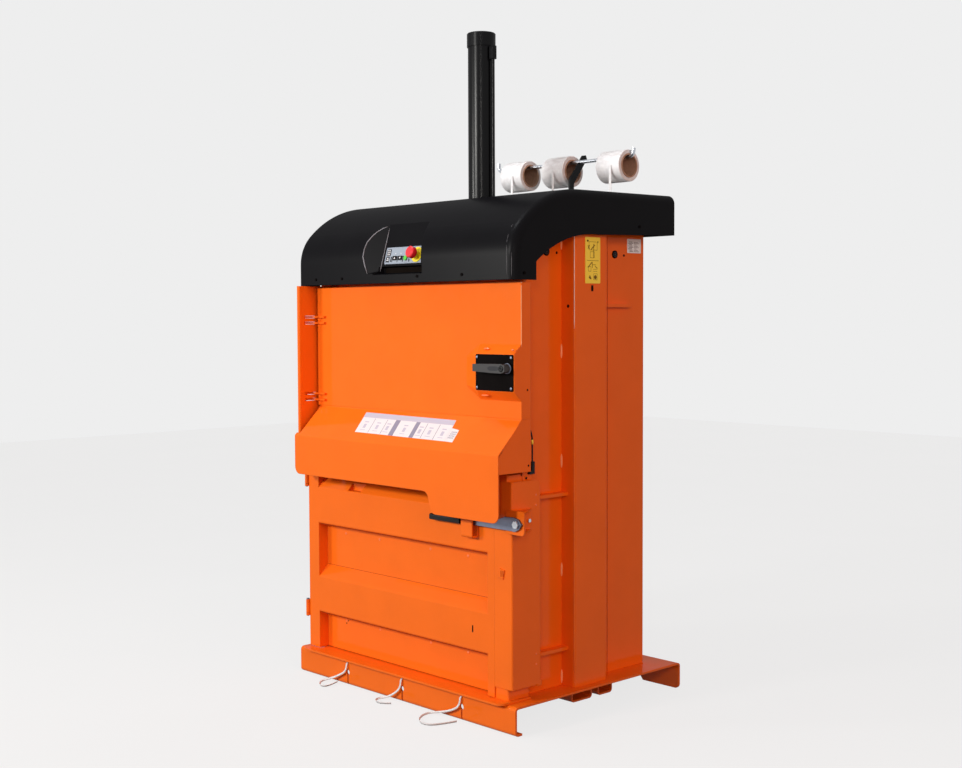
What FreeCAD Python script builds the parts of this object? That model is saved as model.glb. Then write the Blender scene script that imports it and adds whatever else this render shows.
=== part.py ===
import FreeCAD, Part
import math
import os

Vec = FreeCAD.Vector

# Small vertical baler for card and film.  Millimetres, +Z up, the front faces -Y.
# Shapes are drawn with X = 0 on the machine's middle plane, Y = 0 at the front of
# the base and Z = 0 on the floor, and are then moved by machineOrigin.

# base
baseWidth = 980.0
baseDepth = 706.0
baseHeight = 80.0
baseSheet = 6.0
baseLip = 26.0
forkCutHeight = 48.0
forkCutHalfWidth = 330.0
runnerLength = 740.0
runnerFronts = (350.0, 465.0)
runnerWidths = (90.0, 65.0)
floorSheet = 6.0
floorFrontY = -22.0
sillHalfWidth = 455.0
strapPitch = 260.0
strapMiddleX = 15.0
keyholeRadius = 8.0
keyholeSlit = 5.0
keyholeHeight = 40.0

# press chamber
wallOuterX = 414.0
wallSheet = 5.0
wallFrontY = 95.0
wallRearY = 620.0
chamberTop = 1425.0
topPlateSheet = 10.0
ringHeight = 16.0
columnOuterX = 464.0
columnFrontY = 262.0
columnRearY = 402.0
sideRibHeights = (186.0, 628.0)
sideRibReach = 26.0
postInnerX = 378.0
postOuterX = 446.0
postFrontY = 16.5
postSheet = 5.0
postStepHeight = 705.0
jambFrontY = 75.0
headerBottom = 1215.0
plugYs = (200.0, 489.0)
plugHeight = 1316.0
plugRadius = 11.5
plateThickness = 1.5
signTop = 1364.0
shelfHeight = 1238.0
headerTop = 1388.0
topPlateFront = 134.0
shelfSheet = 4.0

# door hinges and the fixed guard beside the loading door
upperHingeX = -455.0
upperHingeY = 0.0
lowerHingeX = -463.0
lowerHingeY = 10.0
upperPin = 4.0
lowerPin = 3.5
upperEye = 7.5
lowerEye = 6.0
pinClearance = 0.06
guardX = -440.0
guardSheet = 4.0
guardFrontY = -31.0
guardLip = 9.0
guardBottom = 772.0
guardTop = 1233.0
fingerSheet = 6.0
fingerWidth = 8.0
slotFrontY = -10.0
slotRearY = 32.5
fingerGap = 13.0
slotClearance = 0.8
upperHingeHeights = (1126.5, 885.0)
lowerHingeHeights = (624.0, 208.0)
lowerKnuckle = 34.0
lowerLug = 8.0
flatGap = 0.5

# loading door with its chute
doorSheet = 3.0
doorLeft = -429.0
doorRight = 482.0
doorFrontY = 34.0
doorRearY = 69.0
doorBottom = 858.0
doorTop = 1227.0
padReach = 27.0
latchHeight = 996.0
padLeft = 332.0
padBottom = latchHeight - 63.0
padTop = latchHeight + 38.0
padCorner = 24.0
padSideSlope = 69.0
chuteReach = 88.0
chuteFold = 766.0
chuteLip = 646.0
chuteTab = 584.0
chuteTabLeft = 202.0
chuteLeft = -418.0
chuteLipLeft = -436.0
chuteSideBottom = 715.0
latchPlateSheet = 2.0
latchX = 462.0
latchShaftRadius = 6.0
latchStandOff = 18.0
latchHandleLength = 111.0
latchHandleHeight = 25.0
latchHandleDepth = 11.0

# bale door
baleDoorLeft = -456.0
baleDoorRight = 372.0
panelLeft = -408.0
baleDoorBottom = 88.5
baleDoorTop = 692.0
ribFaceY = 13.0
ribDepth = 34.5
ribBottoms = (203.0, 485.0)
ribHeight = 103.0
ribSlope = 35.0
pullLeft = -257.0
pullRight = -195.0
pullRise = 19.0
lockCoverLeft = 396.0
lockCoverRight = 465.0
lockCoverRear = 122.0
lockCoverBottom = 119.0
lockCoverTop = 688.0
leverX = 497.0
leverHeight = 579.0
leverSheet = 6.0
leverRearY = 4.0
leverLength = 217.0
leverDrop = 8.0
gripLength = 126.0
gripDepth = 20.0
gripHeight = 17.0
leverPinRadius = 6.0
bracketRight = 520.0
bracketBottom = 549.0
bracketTop = 614.0
bracketSheet = 5.0
bracketRear = 85.0
catchLeft = 288.0
catchRight = 333.0

# hood and control panel
hoodHalfWidth = 488.0
hoodSheet = 4.0
hoodFrontBottom = 1234.0
hoodBendStart = 1300.0
hoodTop = 1490.0
hoodRearTop = 1494.0
hoodRoundDepth = 270.0
hoodFrontRadius = 130.0
hoodRear = 675.0
hoodSideStep = 86.0
hoodArcStart = 1284.0
hoodArcMiddleY = 160.0
hoodArcMiddle = 1330.0
hoodArcEndY = 340.0
hoodArcEnd = 1365.0
hoodRearBottom = 1375.0
hoodCornerRadius = 26.0
hoodScrewXs = (-390.0, -258.0, 94.0, 284.0)
hoodScrewHeight = 1252.0
hoodSideScrews = ((40.0, 1252.0), (515.0, 1394.0))
screwHead = 4.5
panelTilt = 15.0
panelBaseY = 20.5
panelBaseHeight = 1272.0
plateLeft = -84.0
plateRight = 87.0
plateLow = 19.5
plateHigh = 70.5
boxLow = 25.0
plateSheet = 2.0
stopX = 60.0
stopUp = 44.5
stopRadius = 17.0
stopDiscRadius = 22.5
stopCollar = 12.0
stopHead = 16.0
stopTravel = 4.0
startX = 14.0
startUp = 35.0
startRadius = 7.0
buttonTravel = 2.0
keyWidth = 18.0
keyHeight = 12.0
keyLefts = (-47.0, -23.0)
keyUp = 31.0

# cylinder and press plate
cylinderY = 345.0
cylinderRadius = 41.0
boreRadius = 31.5
cylinderBottom = 1330.0
cylinderTop = 1976.0
capRadius = 44.0
capHeight = 24.0
glandHeight = 30.0
rodRadius = 20.0
runningClearance = 0.07
pistonHeight = 40.0
pistonBottom = 1934.0
pressBottom = 1240.0
pressHeight = 80.0
pressSheet = 8.0
pressHalfWidth = 395.0
pressFrontY = 106.0
pressRearY = 603.0
pressPostNotch = 60.0

# strap rolls
rollRadius = 50.0
rollWidth = 96.0
rollY = 690.0
rollHeight = 1600.0
rollXs = (-177.0, 13.0, 250.0)
coreBore = 33.0
coreRadius = 37.0
coreWidth = 100.0
rollRodRadius = 6.0
rollRodLeft = -280.0
rollRodRight = 312.0
rollArmX = 91.0
rollArmSheet = 6.0
rollArmFrontY = 640.0
rollArmWidth = 20.0
tailXs = (-166.0, 21.0, 265.0)
tailWidth = 9.0
tailThickness = 1.2
tailBottom = 130.0
strapTube = 3.0
strapEnds = (
    ((0, 16, 75), (0, -5, 75), (-1, -7, 44), (-32, -10, 27), (-66, -13, 12), (-86, -34, 5), (-64, -62, 5),
     (-36, -78, 5), (-18, -60, 5), (-40, -10, 5)),
    ((0, 16, 75), (0, -5, 75), (0, -7, 44), (-22, -10, 24), (-50, -16, 8), (-70, -36, 5), (-52, -62, 5),
     (-20, -64, 5), (2, -44, 6)),
    ((0, 16, 75), (0, -5, 75), (-2, -7, 42), (-34, -10, 24), (-78, -12, 11), (-112, -22, 5), (-104, -62, 5),
     (-66, -104, 5), (-24, -106, 5), (-4, -70, 5), (6, -24, 5)),
)

stageReach = doorFrontY - chuteReach
machineOrigin = Vec(
    -(bracketRight - baseWidth / 2) / 2,
    -(rollY + rollRadius + stageReach) / 2,
    0,
)


def box(x0, x1, y0, y1, z0, z1):
    return Part.makeBox(x1 - x0, y1 - y0, z1 - z0, Vec(x0, y0, z0))


def polygonWire(points):
    return Part.makePolygon(points + [points[0]])


def prismX(points, x0, x1):
    face = Part.Face(polygonWire([Vec(x0, y, z) for y, z in points]))
    return face.extrude(Vec(x1 - x0, 0, 0))


def prismY(points, y0, y1):
    face = Part.Face(polygonWire([Vec(x, y0, z) for x, z in points]))
    return face.extrude(Vec(0, y1 - y0, 0))


def prismZ(points, z0, z1):
    face = Part.Face(polygonWire([Vec(x, y, z0) for x, y in points]))
    return face.extrude(Vec(0, 0, z1 - z0))


def foldedEdges(points, half, bend, place):
    """The closed outline of a folded sheet, from the middle line of its section."""
    flat = [FreeCAD.Vector(a, b, 0) for a, b in points]
    corners = []
    for before, here, after in zip(flat, flat[1:], flat[2:]):
        inward = (here - before).normalize()
        outward = (after - here).normalize()
        turn = inward.getAngle(outward)
        side = 1.0 if inward.cross(outward).z > 0 else -1.0
        reach = bend * math.tan(turn / 2)
        normal = Vec(-inward.y, inward.x, 0) * side
        first = here - inward * reach
        centre = first + normal * bend
        middle = centre + (here - centre).normalize() * bend
        corners.append((first, middle, here + outward * reach, centre, side))
    startNormal = (flat[1] - flat[0]).normalize()
    endNormal = (flat[-1] - flat[-2]).normalize()
    startSide = Vec(-startNormal.y, startNormal.x, 0)
    endSide = Vec(-endNormal.y, endNormal.x, 0)
    edges = []

    def runSide(sign):
        rows = [[flat[0] + startSide * half * sign]]
        for first, middle, last, centre, side in corners:
            radius = bend - half * sign * side
            rows.append([centre + (p - centre).normalize() * radius for p in (first, middle, last)])
        rows.append([flat[-1] + endSide * half * sign])
        return rows

    left = runSide(1)
    right = [list(reversed(row)) for row in reversed(runSide(-1))]
    loop = left + right
    for row, following in zip(loop, loop[1:] + [loop[0]]):
        if len(row) == 3:
            edges.append(Part.Arc(*[place(p) for p in row]).toShape())
        edges.append(Part.LineSegment(place(row[-1]), place(following[0])).toShape())
    return edges


def foldedX(points, sheet, bend, x0, x1):
    edges = foldedEdges(points, sheet / 2, bend, lambda p: Vec(x0, p.x, p.y))
    return Part.Face(Part.Wire(edges)).extrude(Vec(x1 - x0, 0, 0))


def foldedZ(points, sheet, bend, z0, z1):
    edges = foldedEdges(points, sheet / 2, bend, lambda p: Vec(p.x, p.y, z0))
    return Part.Face(Part.Wire(edges)).extrude(Vec(0, 0, z1 - z0))


def roundedPlateY(x0, x1, z0, z1, y0, y1, radius):
    plate = box(x0, x1, y0, y1, z0, z1)
    upright = [e for e in plate.Edges if abs(e.tangentAt(0).y) > 0.99]
    return plate.makeFillet(radius, upright)


def verticalFillet(shape, radius, test):
    chosen = [e for e in shape.Edges if isVertical(e) and test(e.CenterOfMass)]
    return shape.makeFillet(radius, chosen)


def isVertical(edge):
    if edge.Curve.TypeId != "Part::GeomLine":
        return False
    return abs(edge.tangentAt(edge.FirstParameter).z) > 0.99


def roundBar(start, end, radius):
    along = end - start
    return Part.makeCylinder(radius, along.Length, start, along)


def roundPath(points, radius, bendShare=0.45, sides=0):
    """A round or many-sided bar along straight runs joined by arcs tangent to both runs."""
    edges = []
    cursor = points[0]
    radii = []
    for before, here, after in zip(points, points[1:], points[2:]):
        inward = (here - before).normalize()
        outward = (after - here).normalize()
        turn = inward.getAngle(outward)
        shorter = min((here - before).Length, (after - here).Length)
        reach = bendShare * shorter
        arcRadius = reach / math.tan(turn / 2)
        radii.append(arcRadius)
        first = here - inward * reach
        last = here + outward * reach
        toCentre = (outward - inward).normalize()
        centre = here + toCentre * math.sqrt(arcRadius ** 2 + reach ** 2)
        middle = centre - toCentre * arcRadius
        edges.append(Part.LineSegment(cursor, first).toShape())
        edges.append(Part.Arc(first, middle, last).toShape())
        cursor = last
    edges.append(Part.LineSegment(cursor, points[-1]).toShape())
    path = Part.Wire(edges)
    along = (points[1] - points[0]).normalize()
    section = Part.Wire(Part.Circle(points[0], along, radius).toShape())
    area = math.pi * radius ** 2
    if sides:
        across = along.cross(Vec(1, 0, 0)).normalize()
        upright = along.cross(across)
        turns = [2 * math.pi * k / sides for k in range(sides)]
        section = polygonWire([points[0] + (across * math.cos(t) + upright * math.sin(t)) * radius for t in turns])
        area = Part.Face(section).Area
    tube = path.makePipeShell([section], True, False)
    expected = area * path.Length
    print("bar", round(path.Length), "mm, radii", [round(r, 1) for r in radii], end=" ")
    print("volume ratio", round(tube.Volume / expected, 4))
    return tube


def fuseAll(shapes):
    joined = shapes[0].fuse(shapes[1:]) if len(shapes) > 1 else shapes[0]
    return joined.removeSplitter()


def mirrored(shape):
    return shape.mirror(Vec(0, 0, 0), Vec(1, 0, 0))


def strapXs():
    return [strapMiddleX + strapPitch * k for k in (-1, 0, 1)]


def baseFrame():
    half = baseSheet / 2
    section = [
        (baseLip, half),
        (half, half),
        (half, baseHeight - half),
        (baseDepth - half, baseHeight - half),
        (baseDepth - half, 0),
    ]
    frame = foldedX(section, baseSheet, baseSheet * 1.4, -baseWidth / 2, baseWidth / 2)
    chamfer = forkCutHeight * 0.8
    forkCut = [
        (-forkCutHalfWidth - chamfer / 2, -1),
        (-forkCutHalfWidth + chamfer / 2, forkCutHeight),
        (forkCutHalfWidth - chamfer / 2, forkCutHeight),
        (forkCutHalfWidth + chamfer / 2, -1),
    ]
    frame = frame.cut(prismY(forkCut, baseDepth - baseSheet * 2, baseDepth + 1))
    for x in strapXs():
        hole = roundBar(Vec(x, -1, keyholeHeight), Vec(x, baseSheet + 1, keyholeHeight), keyholeRadius)
        slit = box(x - keyholeSlit / 2, x + keyholeSlit / 2, -1, baseSheet * 3, -1, keyholeHeight)
        notch = box(x - strapTube - 2, x + strapTube + 2, -1, baseSheet * 3, baseHeight - 10, baseHeight + 1)
        frame = frame.cut(fuseAll([hole, slit])).cut(notch)
    corners = [e for e in frame.Edges if isRearFootCorner(e)]
    return frame.makeFillet(baseSheet * 2.5, corners)


def isRearFootCorner(edge):
    point = edge.CenterOfMass
    atEnd = abs(abs(point.x) - baseWidth / 2) < 0.01
    atFloor = point.z < 0.01
    return atEnd and atFloor and abs(point.y - (baseDepth - baseSheet / 2)) < 0.1


def baseRunners():
    channels = []
    half = baseSheet / 2
    for front, width in zip(runnerFronts, runnerWidths):
        section = [
            (front + half, baseHeight - baseSheet),
            (front + half, half),
            (front + width - half, half),
            (front + width - half, baseHeight - baseSheet),
        ]
        channels.append(foldedX(section, baseSheet, baseSheet * 1.4, -runnerLength / 2, runnerLength / 2))
    return Part.makeCompound(channels)


def chamberFloor():
    plate = box(-sillHalfWidth, sillHalfWidth, floorFrontY, wallRearY - wallSheet, baseHeight,
                baseHeight + floorSheet)
    rearCut = wallFrontY
    for side in (-1, 1):
        inner = wallOuterX - wallSheet
        x0, x1 = sorted((side * inner, side * (sillHalfWidth + 1)))
        plate = plate.cut(box(x0, x1, rearCut, wallRearY, 0, baseHeight * 2))
    return verticalFillet(plate, floorSheet * 4, lambda p: p.y < floorFrontY + 1)


def sideWall():
    low = baseHeight
    inner = wallOuterX - wallSheet
    return prismX([
        (wallFrontY, low),
        (wallRearY, low),
        (wallRearY, chamberTop),
        (topPlateFront, chamberTop),
        (wallFrontY, headerTop),
    ], inner, wallOuterX)


def rearWall():
    half = wallSheet / 2
    inner = wallOuterX - wallSheet
    wall = box(-inner, inner, wallRearY - wallSheet, wallRearY, baseHeight, chamberTop)
    guides = []
    for x in tailXs:
        section = [
            (x - tailWidth, wallRearY),
            (x - tailWidth, tailY() + 5),
            (x + tailWidth, tailY() + 5),
            (x + tailWidth, wallRearY),
        ]
        guides.append(foldedZ(section, half * 1.2, half * 1.6, tailBottom - 30, tailBottom - 5))
    return fuseAll([wall] + guides)


def sideColumn():
    half = wallSheet / 2
    section = [
        (wallOuterX, columnFrontY + half),
        (columnOuterX - half, columnFrontY + half),
        (columnOuterX - half, columnRearY - half),
        (wallOuterX, columnRearY - half),
    ]
    column = foldedZ(section, wallSheet, wallSheet * 1.3, baseHeight, chamberTop)
    slot = box(columnOuterX - wallSheet * 2, columnOuterX + 1, 332, 342, 1211, 1218)
    hole = roundBar(Vec(440, columnFrontY - 1, 1164), Vec(440, columnFrontY + wallSheet + 1, 1164), 4)
    return column.cut(slot).cut(hole)


def sideRibs():
    ribs = []
    for height in sideRibHeights:
        rib = box(wallOuterX, wallOuterX + sideRibReach, columnFrontY - 118, columnFrontY,
                  height, height + wallSheet * 2)
        corner = [e for e in rib.Edges if isVertical(e) and e.CenterOfMass.x > wallOuterX + 1
                  and e.CenterOfMass.y < columnFrontY - 1]
        ribs.append(rib.makeFillet(sideRibReach * 0.4, corner))
    rear = box(wallOuterX, wallOuterX + sideRibReach * 0.7, columnRearY, columnRearY + 144,
               1161, 1161 + wallSheet * 2)
    ribs.append(rear)
    return Part.makeCompound(ribs + [mirrored(r) for r in ribs])


def rightPost():
    half = postSheet / 2
    low = baseHeight + floorSheet
    wallInner = wallOuterX - wallSheet
    tube = box(postInnerX, postOuterX, postFrontY, wallFrontY, low, postStepHeight)
    tube = verticalFillet(tube, postSheet * 1.2, lambda p: p.y < postFrontY + 1)
    hollow = box(postInnerX + postSheet, postOuterX - postSheet, postFrontY + postSheet,
                 wallFrontY - postSheet, low - 1, postStepHeight - postSheet)
    section = [
        (postInnerX, jambFrontY + half),
        (postOuterX - half, jambFrontY + half),
        (postOuterX - half, wallFrontY - half),
        (wallInner, wallFrontY - half),
    ]
    jamb = foldedZ(section, postSheet, postSheet * 1.2, postStepHeight - 1, headerTop)
    return fuseAll([tube.cut(hollow), jamb])


def leftPost():
    half = postSheet / 2
    low = baseHeight + floorSheet
    outer = lowerHingeX - lowerEye
    frontY = jambFrontY
    section = [
        (-postInnerX, frontY + half),
        (outer + half, frontY + half),
        (outer + half, wallFrontY - half),
        (wallSheet - wallOuterX, wallFrontY - half),
    ]
    post = foldedZ(section, postSheet, postSheet * 1.2, low, headerTop)
    lugs = []
    for height in lowerHingeHeights:
        for side in (-1, 1):
            middle = height + side * (lowerKnuckle / 2 + flatGap + lowerLug / 2)
            lugs.append(frameLug(middle, frontY + half))
    return fuseAll([post] + lugs)


def frameLug(middle, rearY):
    """A flat lug from the post to the hinge pin, rounded about the pin."""
    low = middle - lowerLug / 2
    high = middle + lowerLug / 2
    eye = Part.makeCylinder(lowerEye, lowerLug, Vec(lowerHingeX, lowerHingeY, low))
    arm = box(lowerHingeX - lowerEye, lowerHingeX + lowerEye, lowerHingeY, rearY, low, high)
    hole = Part.makeCylinder(lowerPin, lowerLug + 2, Vec(lowerHingeX, lowerHingeY, low - 1))
    return eye.fuse(arm).removeSplitter().cut(hole)


def hingeGuard():
    """The fixed guard beside the door, with closed slots that its hinge arms swing in."""
    half = guardSheet / 2
    middleX = guardX - half
    section = [
        (guardX - guardLip, guardFrontY + half),
        (middleX, guardFrontY + half),
        (middleX, jambFrontY - half),
        (-postInnerX, jambFrontY - half),
    ]
    guard = foldedZ(section, guardSheet, guardSheet, guardBottom, guardTop)
    for height in upperHingeHeights:
        for side in (-1, 1):
            middle = fingerMiddle(height, side)
            gap = fingerSheet / 2 + slotClearance
            slot = box(guardX - guardSheet - 1, guardX + 1, slotFrontY, slotRearY, middle - gap, middle + gap)
            guard = guard.cut(slot)
    lugs = []
    for height in upperHingeHeights:
        low = height - fingerGap / 2 + flatGap
        high = height + fingerGap / 2 - flatGap
        eye = Part.makeCylinder(upperEye, high - low, Vec(upperHingeX, upperHingeY, low))
        arm = box(upperHingeX, middleX, upperHingeY - upperEye, upperHingeY + upperEye, low, high)
        hole = Part.makeCylinder(upperPin, high - low + 2, Vec(upperHingeX, upperHingeY, low - 1))
        lugs.append(eye.fuse(arm).removeSplitter().cut(hole))
    return fuseAll([guard] + lugs)


def fingerMiddle(height, side):
    return height + side * (fingerGap / 2 + fingerSheet / 2)


def hingePins():
    pins = []
    for height in upperHingeHeights:
        reach = fingerGap / 2 + fingerSheet + 3
        pins.append(hingePin(upperHingeX, upperHingeY, upperPin, height, reach))
    for height in lowerHingeHeights:
        reach = lowerKnuckle / 2 + flatGap + lowerLug + 2
        pins.append(hingePin(lowerHingeX, lowerHingeY, lowerPin, height, reach))
    return Part.makeCompound(pins)


def hingePin(x, y, radius, height, reach):
    pin = Part.makeCylinder(radius, reach * 2, Vec(x, y, height - reach))
    head = Part.makeCylinder(radius * 1.4, 2, Vec(x, y, height + reach))
    return pin.fuse(head).removeSplitter()


def hingeFingers():
    """Cranked arms that reach from the hinge pins round to the door's front."""
    seat = doorFrontY - fingerWidth / 2
    path = [
        (upperHingeX, upperHingeY + 3),
        (upperHingeX + 0.6, upperHingeY + 18),
        (upperHingeX + 10, upperHingeY + 26),
        (upperHingeX + 26, seat),
        (upperHingeX + 69, seat),
    ]
    fingers = []
    for height in upperHingeHeights:
        for side in (-1, 1):
            low = fingerMiddle(height, side) - fingerSheet / 2
            arm = foldedZ(path, fingerWidth, fingerWidth * 0.55, low, low + fingerSheet)
            eye = Part.makeCylinder(upperEye, fingerSheet, Vec(upperHingeX, upperHingeY, low))
            hole = Part.makeCylinder(upperPin + pinClearance, fingerSheet + 2,
                                     Vec(upperHingeX, upperHingeY, low - 1))
            fingers.append(arm.fuse(eye).removeSplitter().cut(hole))
    return Part.makeCompound(fingers)


def padSolid(inset):
    """The raised field behind the latch, as a block with sloped edges and cut corners."""
    front = doorFrontY - padReach + inset
    slope = padReach - inset
    right = doorRight - inset
    back = doorFrontY + inset + 0.5
    wires = []
    for y, left, low, high, corner in (
        (back, padLeft - padSideSlope, padBottom - slope, padTop + slope, padCorner * 1.6),
        (front, padLeft, padBottom, padTop, padCorner * 0.12),
    ):
        wires.append(polygonWire([
            Vec(left + corner * 1.5, y, low),
            Vec(right, y, low),
            Vec(right, y, high),
            Vec(left + corner * 1.5, y, high),
            Vec(left, y, high - corner),
            Vec(left, y, low + corner),
        ]))
    return Part.makeLoft(wires, True, True)


def loadingDoorPanel():
    outer = box(doorLeft, doorRight, doorFrontY, doorRearY, doorBottom, doorTop)
    outer = outer.fuse(padSolid(0)).removeSplitter()
    inner = box(doorLeft + doorSheet, doorRight - doorSheet, doorFrontY + doorSheet, doorRearY + 1,
                doorBottom - 1, doorTop - doorSheet)
    inner = inner.fuse(padSolid(doorSheet))
    hole = roundBar(Vec(latchX, 0, latchHeight), Vec(latchX, doorRearY, latchHeight),
                    latchShaftRadius + 1.5)
    return outer.cut(inner).cut(hole)


def chuteApron():
    half = doorSheet / 2
    lipY = doorFrontY - chuteReach + half
    section = [
        (doorFrontY + half, doorBottom + 20),
        (doorFrontY + half, doorBottom - 4),
        (lipY, chuteFold),
        (lipY, chuteTab),
    ]
    sheet = foldedX(section, doorSheet, doorSheet * 1.5, chuteLipLeft, doorRight)
    sheet = sheet.cut(box(chuteLipLeft - 1, chuteLeft, lipY - 10, doorRearY, chuteFold + 8, doorBottom + 9))
    lip = chuteLipOutline()
    slope = box(chuteLipLeft - 1, doorRight + 1, lipY - 10, doorRearY, chuteFold, doorBottom)
    sheet = sheet.common(lip.fuse(slope))
    cheek = [
        (doorFrontY, doorBottom),
        (lipY + 4, chuteFold - 2),
        (lipY + half, chuteFold - 5),
        (lipY + half, chuteSideBottom),
        (doorRearY, chuteSideBottom),
        (doorRearY, doorBottom),
    ]
    right = prismX(cheek, doorRight - doorSheet, doorRight)
    left = prismX(cheek, chuteLeft, chuteLeft + doorSheet)
    return fuseAll([sheet, right, left])


def chuteLipOutline():
    """The lip seen from the front, with its step and rounded corners, as a block."""
    radius = 24.0
    lipY = doorFrontY - chuteReach
    outline = [
        (chuteLipLeft, chuteFold + 8),
        (chuteLipLeft, chuteLip),
        (chuteTabLeft - 8, chuteLip),
        (chuteTabLeft + 8, chuteTab),
        (doorRight, chuteTab),
        (doorRight, chuteFold + 8),
    ]
    block = prismY(outline, lipY - 2, lipY + doorSheet + 2)
    low = [e for e in block.Edges if abs(e.tangentAt(e.FirstParameter).y) > 0.99
           and e.CenterOfMass.z < chuteLip + 1]
    return block.makeFillet(radius, low)


def latchPlate():
    front = doorFrontY - padReach
    plate = roundedPlateY(padLeft + 1, doorRight - 2.5, padBottom + 1, padTop - 1,
                          front - latchPlateSheet, front, 4)
    hole = roundBar(Vec(latchX, front - 9, latchHeight), Vec(latchX, front + 9, latchHeight),
                    latchShaftRadius + 1.5)
    plate = plate.cut(hole)
    screws = []
    for x in (padLeft + 8, doorRight - 9):
        for z in (padBottom + 9, padTop - 9):
            screws.append(roundBar(Vec(x, front - latchPlateSheet, z),
                                   Vec(x, front - latchPlateSheet - 2, z), 3.2))
    return fuseAll([plate] + screws)


def latchHandle():
    """A paddle handle on a round boss, with its shaft and the cam behind the door."""
    front = doorFrontY - padReach - latchPlateSheet
    rear = front - latchStandOff
    low = latchHeight - latchHandleHeight / 2
    high = latchHeight + latchHandleHeight / 2
    left = latchX - latchHandleLength
    outline = [
        (latchX + 13, low + 4),
        (latchX + 13, high - 4),
        (latchX, high),
        (latchX - 34, high),
        (left, high - 1.5),
        (left, low + 3.5),
        (latchX - 34, low),
        (latchX, low),
    ]
    paddle = prismY(outline, rear - latchHandleDepth, rear)
    hook = box(left, left + 6, rear - 1, rear + 9, low + 4, high - 2)
    boss = roundBar(Vec(latchX, rear, latchHeight), Vec(latchX, front - 0.5, latchHeight), 12.5)
    shaft = roundBar(Vec(latchX, front - 1, latchHeight), Vec(latchX, doorRearY - 10, latchHeight),
                     latchShaftRadius)
    cam = box(latchX - 26, latchX + 9, doorRearY - 16, doorRearY - 10, latchHeight - 9, latchHeight + 9)
    return fuseAll([paddle, hook, boss, shaft, cam])


def baleDoorPanel():
    """One pressed sheet with two hat-shaped ribs, a stile at the left and closed ends."""
    half = doorSheet / 2
    faceY = ribFaceY + half
    backY = faceY + ribDepth
    path = [(backY, baleDoorBottom)]
    for bottom in ribBottoms:
        path += [
            (backY, bottom + half),
            (faceY, bottom + half),
            (faceY, bottom + ribHeight + 10),
            (backY, bottom + ribHeight + 10 + ribSlope),
        ]
    path += [(backY, baleDoorTop - half), (backY + 18, baleDoorTop - half)]
    panel = foldedX(path, doorSheet, doorSheet * 1.4, panelLeft, baleDoorRight)
    frontOfPanel = [(ribFaceY, baleDoorBottom), (ribFaceY, baleDoorTop)]
    cheekOutline = frontOfPanel + [(backY + half, baleDoorTop), (backY + half, baleDoorBottom)]
    leftCheek = prismX(cheekOutline, panelLeft, panelLeft + doorSheet)
    rightCheek = prismX(cheekOutline, baleDoorRight - doorSheet, baleDoorRight)
    stile = box(baleDoorLeft, panelLeft + doorSheet, ribFaceY, ribFaceY + doorSheet, baleDoorBottom,
                baleDoorTop)
    rightStile = box(baleDoorRight - doorSheet, lockCoverLeft, ribFaceY, ribFaceY + doorSheet,
                     baleDoorBottom, baleDoorTop)
    return pullRecess(fuseAll([panel, leftCheek, rightCheek, stile, rightStile]))


def pullRecess(door):
    """A small finger recess, closed at its back, in the slope of the top rib."""
    low = ribBottoms[1] + ribHeight + 10 + 3
    front = ribFaceY + 2
    rear = front + pullRise + 3
    outer = prismX([(front, low - 3), (rear + 3, low - 3), (rear + 3, low + pullRise + 4)],
                   pullLeft - 3, pullRight + 3)
    inner = box(pullLeft, pullRight, 0, rear, low, low + pullRise * 2)
    return door.fuse(outer).cut(inner).removeSplitter()


def baleDoorKnuckles():
    knuckles = []
    rear = ribFaceY + doorSheet
    for height in lowerHingeHeights:
        low = height - lowerKnuckle / 2
        eye = Part.makeCylinder(lowerEye, lowerKnuckle, Vec(lowerHingeX, lowerHingeY, low))
        leaf = prismZ([
            (lowerHingeX, lowerHingeY),
            (lowerHingeX + lowerEye - 0.5, lowerHingeY),
            (baleDoorLeft - 0.5, ribFaceY),
            (baleDoorLeft - 0.5, rear),
            (baleDoorLeft + 34, rear),
            (baleDoorLeft + 34, rear + 4),
            (baleDoorLeft - 3, rear + 4),
            (lowerHingeX - lowerEye + 1, lowerHingeY + 3),
        ], low, low + lowerKnuckle)
        hole = Part.makeCylinder(lowerPin + pinClearance, lowerKnuckle + 2,
                                 Vec(lowerHingeX, lowerHingeY, low - 1))
        knuckles.append(eye.fuse(leaf).removeSplitter().cut(hole))
    return Part.makeCompound(knuckles)


def lockCover():
    half = doorSheet / 2
    section = [
        (lockCoverLeft, ribFaceY + half),
        (lockCoverRight - half, ribFaceY + half),
        (lockCoverRight - half, lockCoverRear),
    ]
    cover = foldedZ(section, doorSheet, doorSheet * 1.4, lockCoverBottom, lockCoverTop)
    corner = [e for e in cover.Edges if isRearTopCorner(e)]
    cover = cover.makeFillet(20, corner)
    nib = box(lockCoverRight - doorSheet, lockCoverRight, lockCoverRear - 12, lockCoverRear + 5,
              lockCoverBottom - 4, lockCoverBottom + 10)
    return fuseAll([cover, nib])


def isRearTopCorner(edge):
    point = edge.CenterOfMass
    atTop = abs(point.z - lockCoverTop) < 0.01
    return atTop and abs(point.y - lockCoverRear) < 0.01


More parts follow.
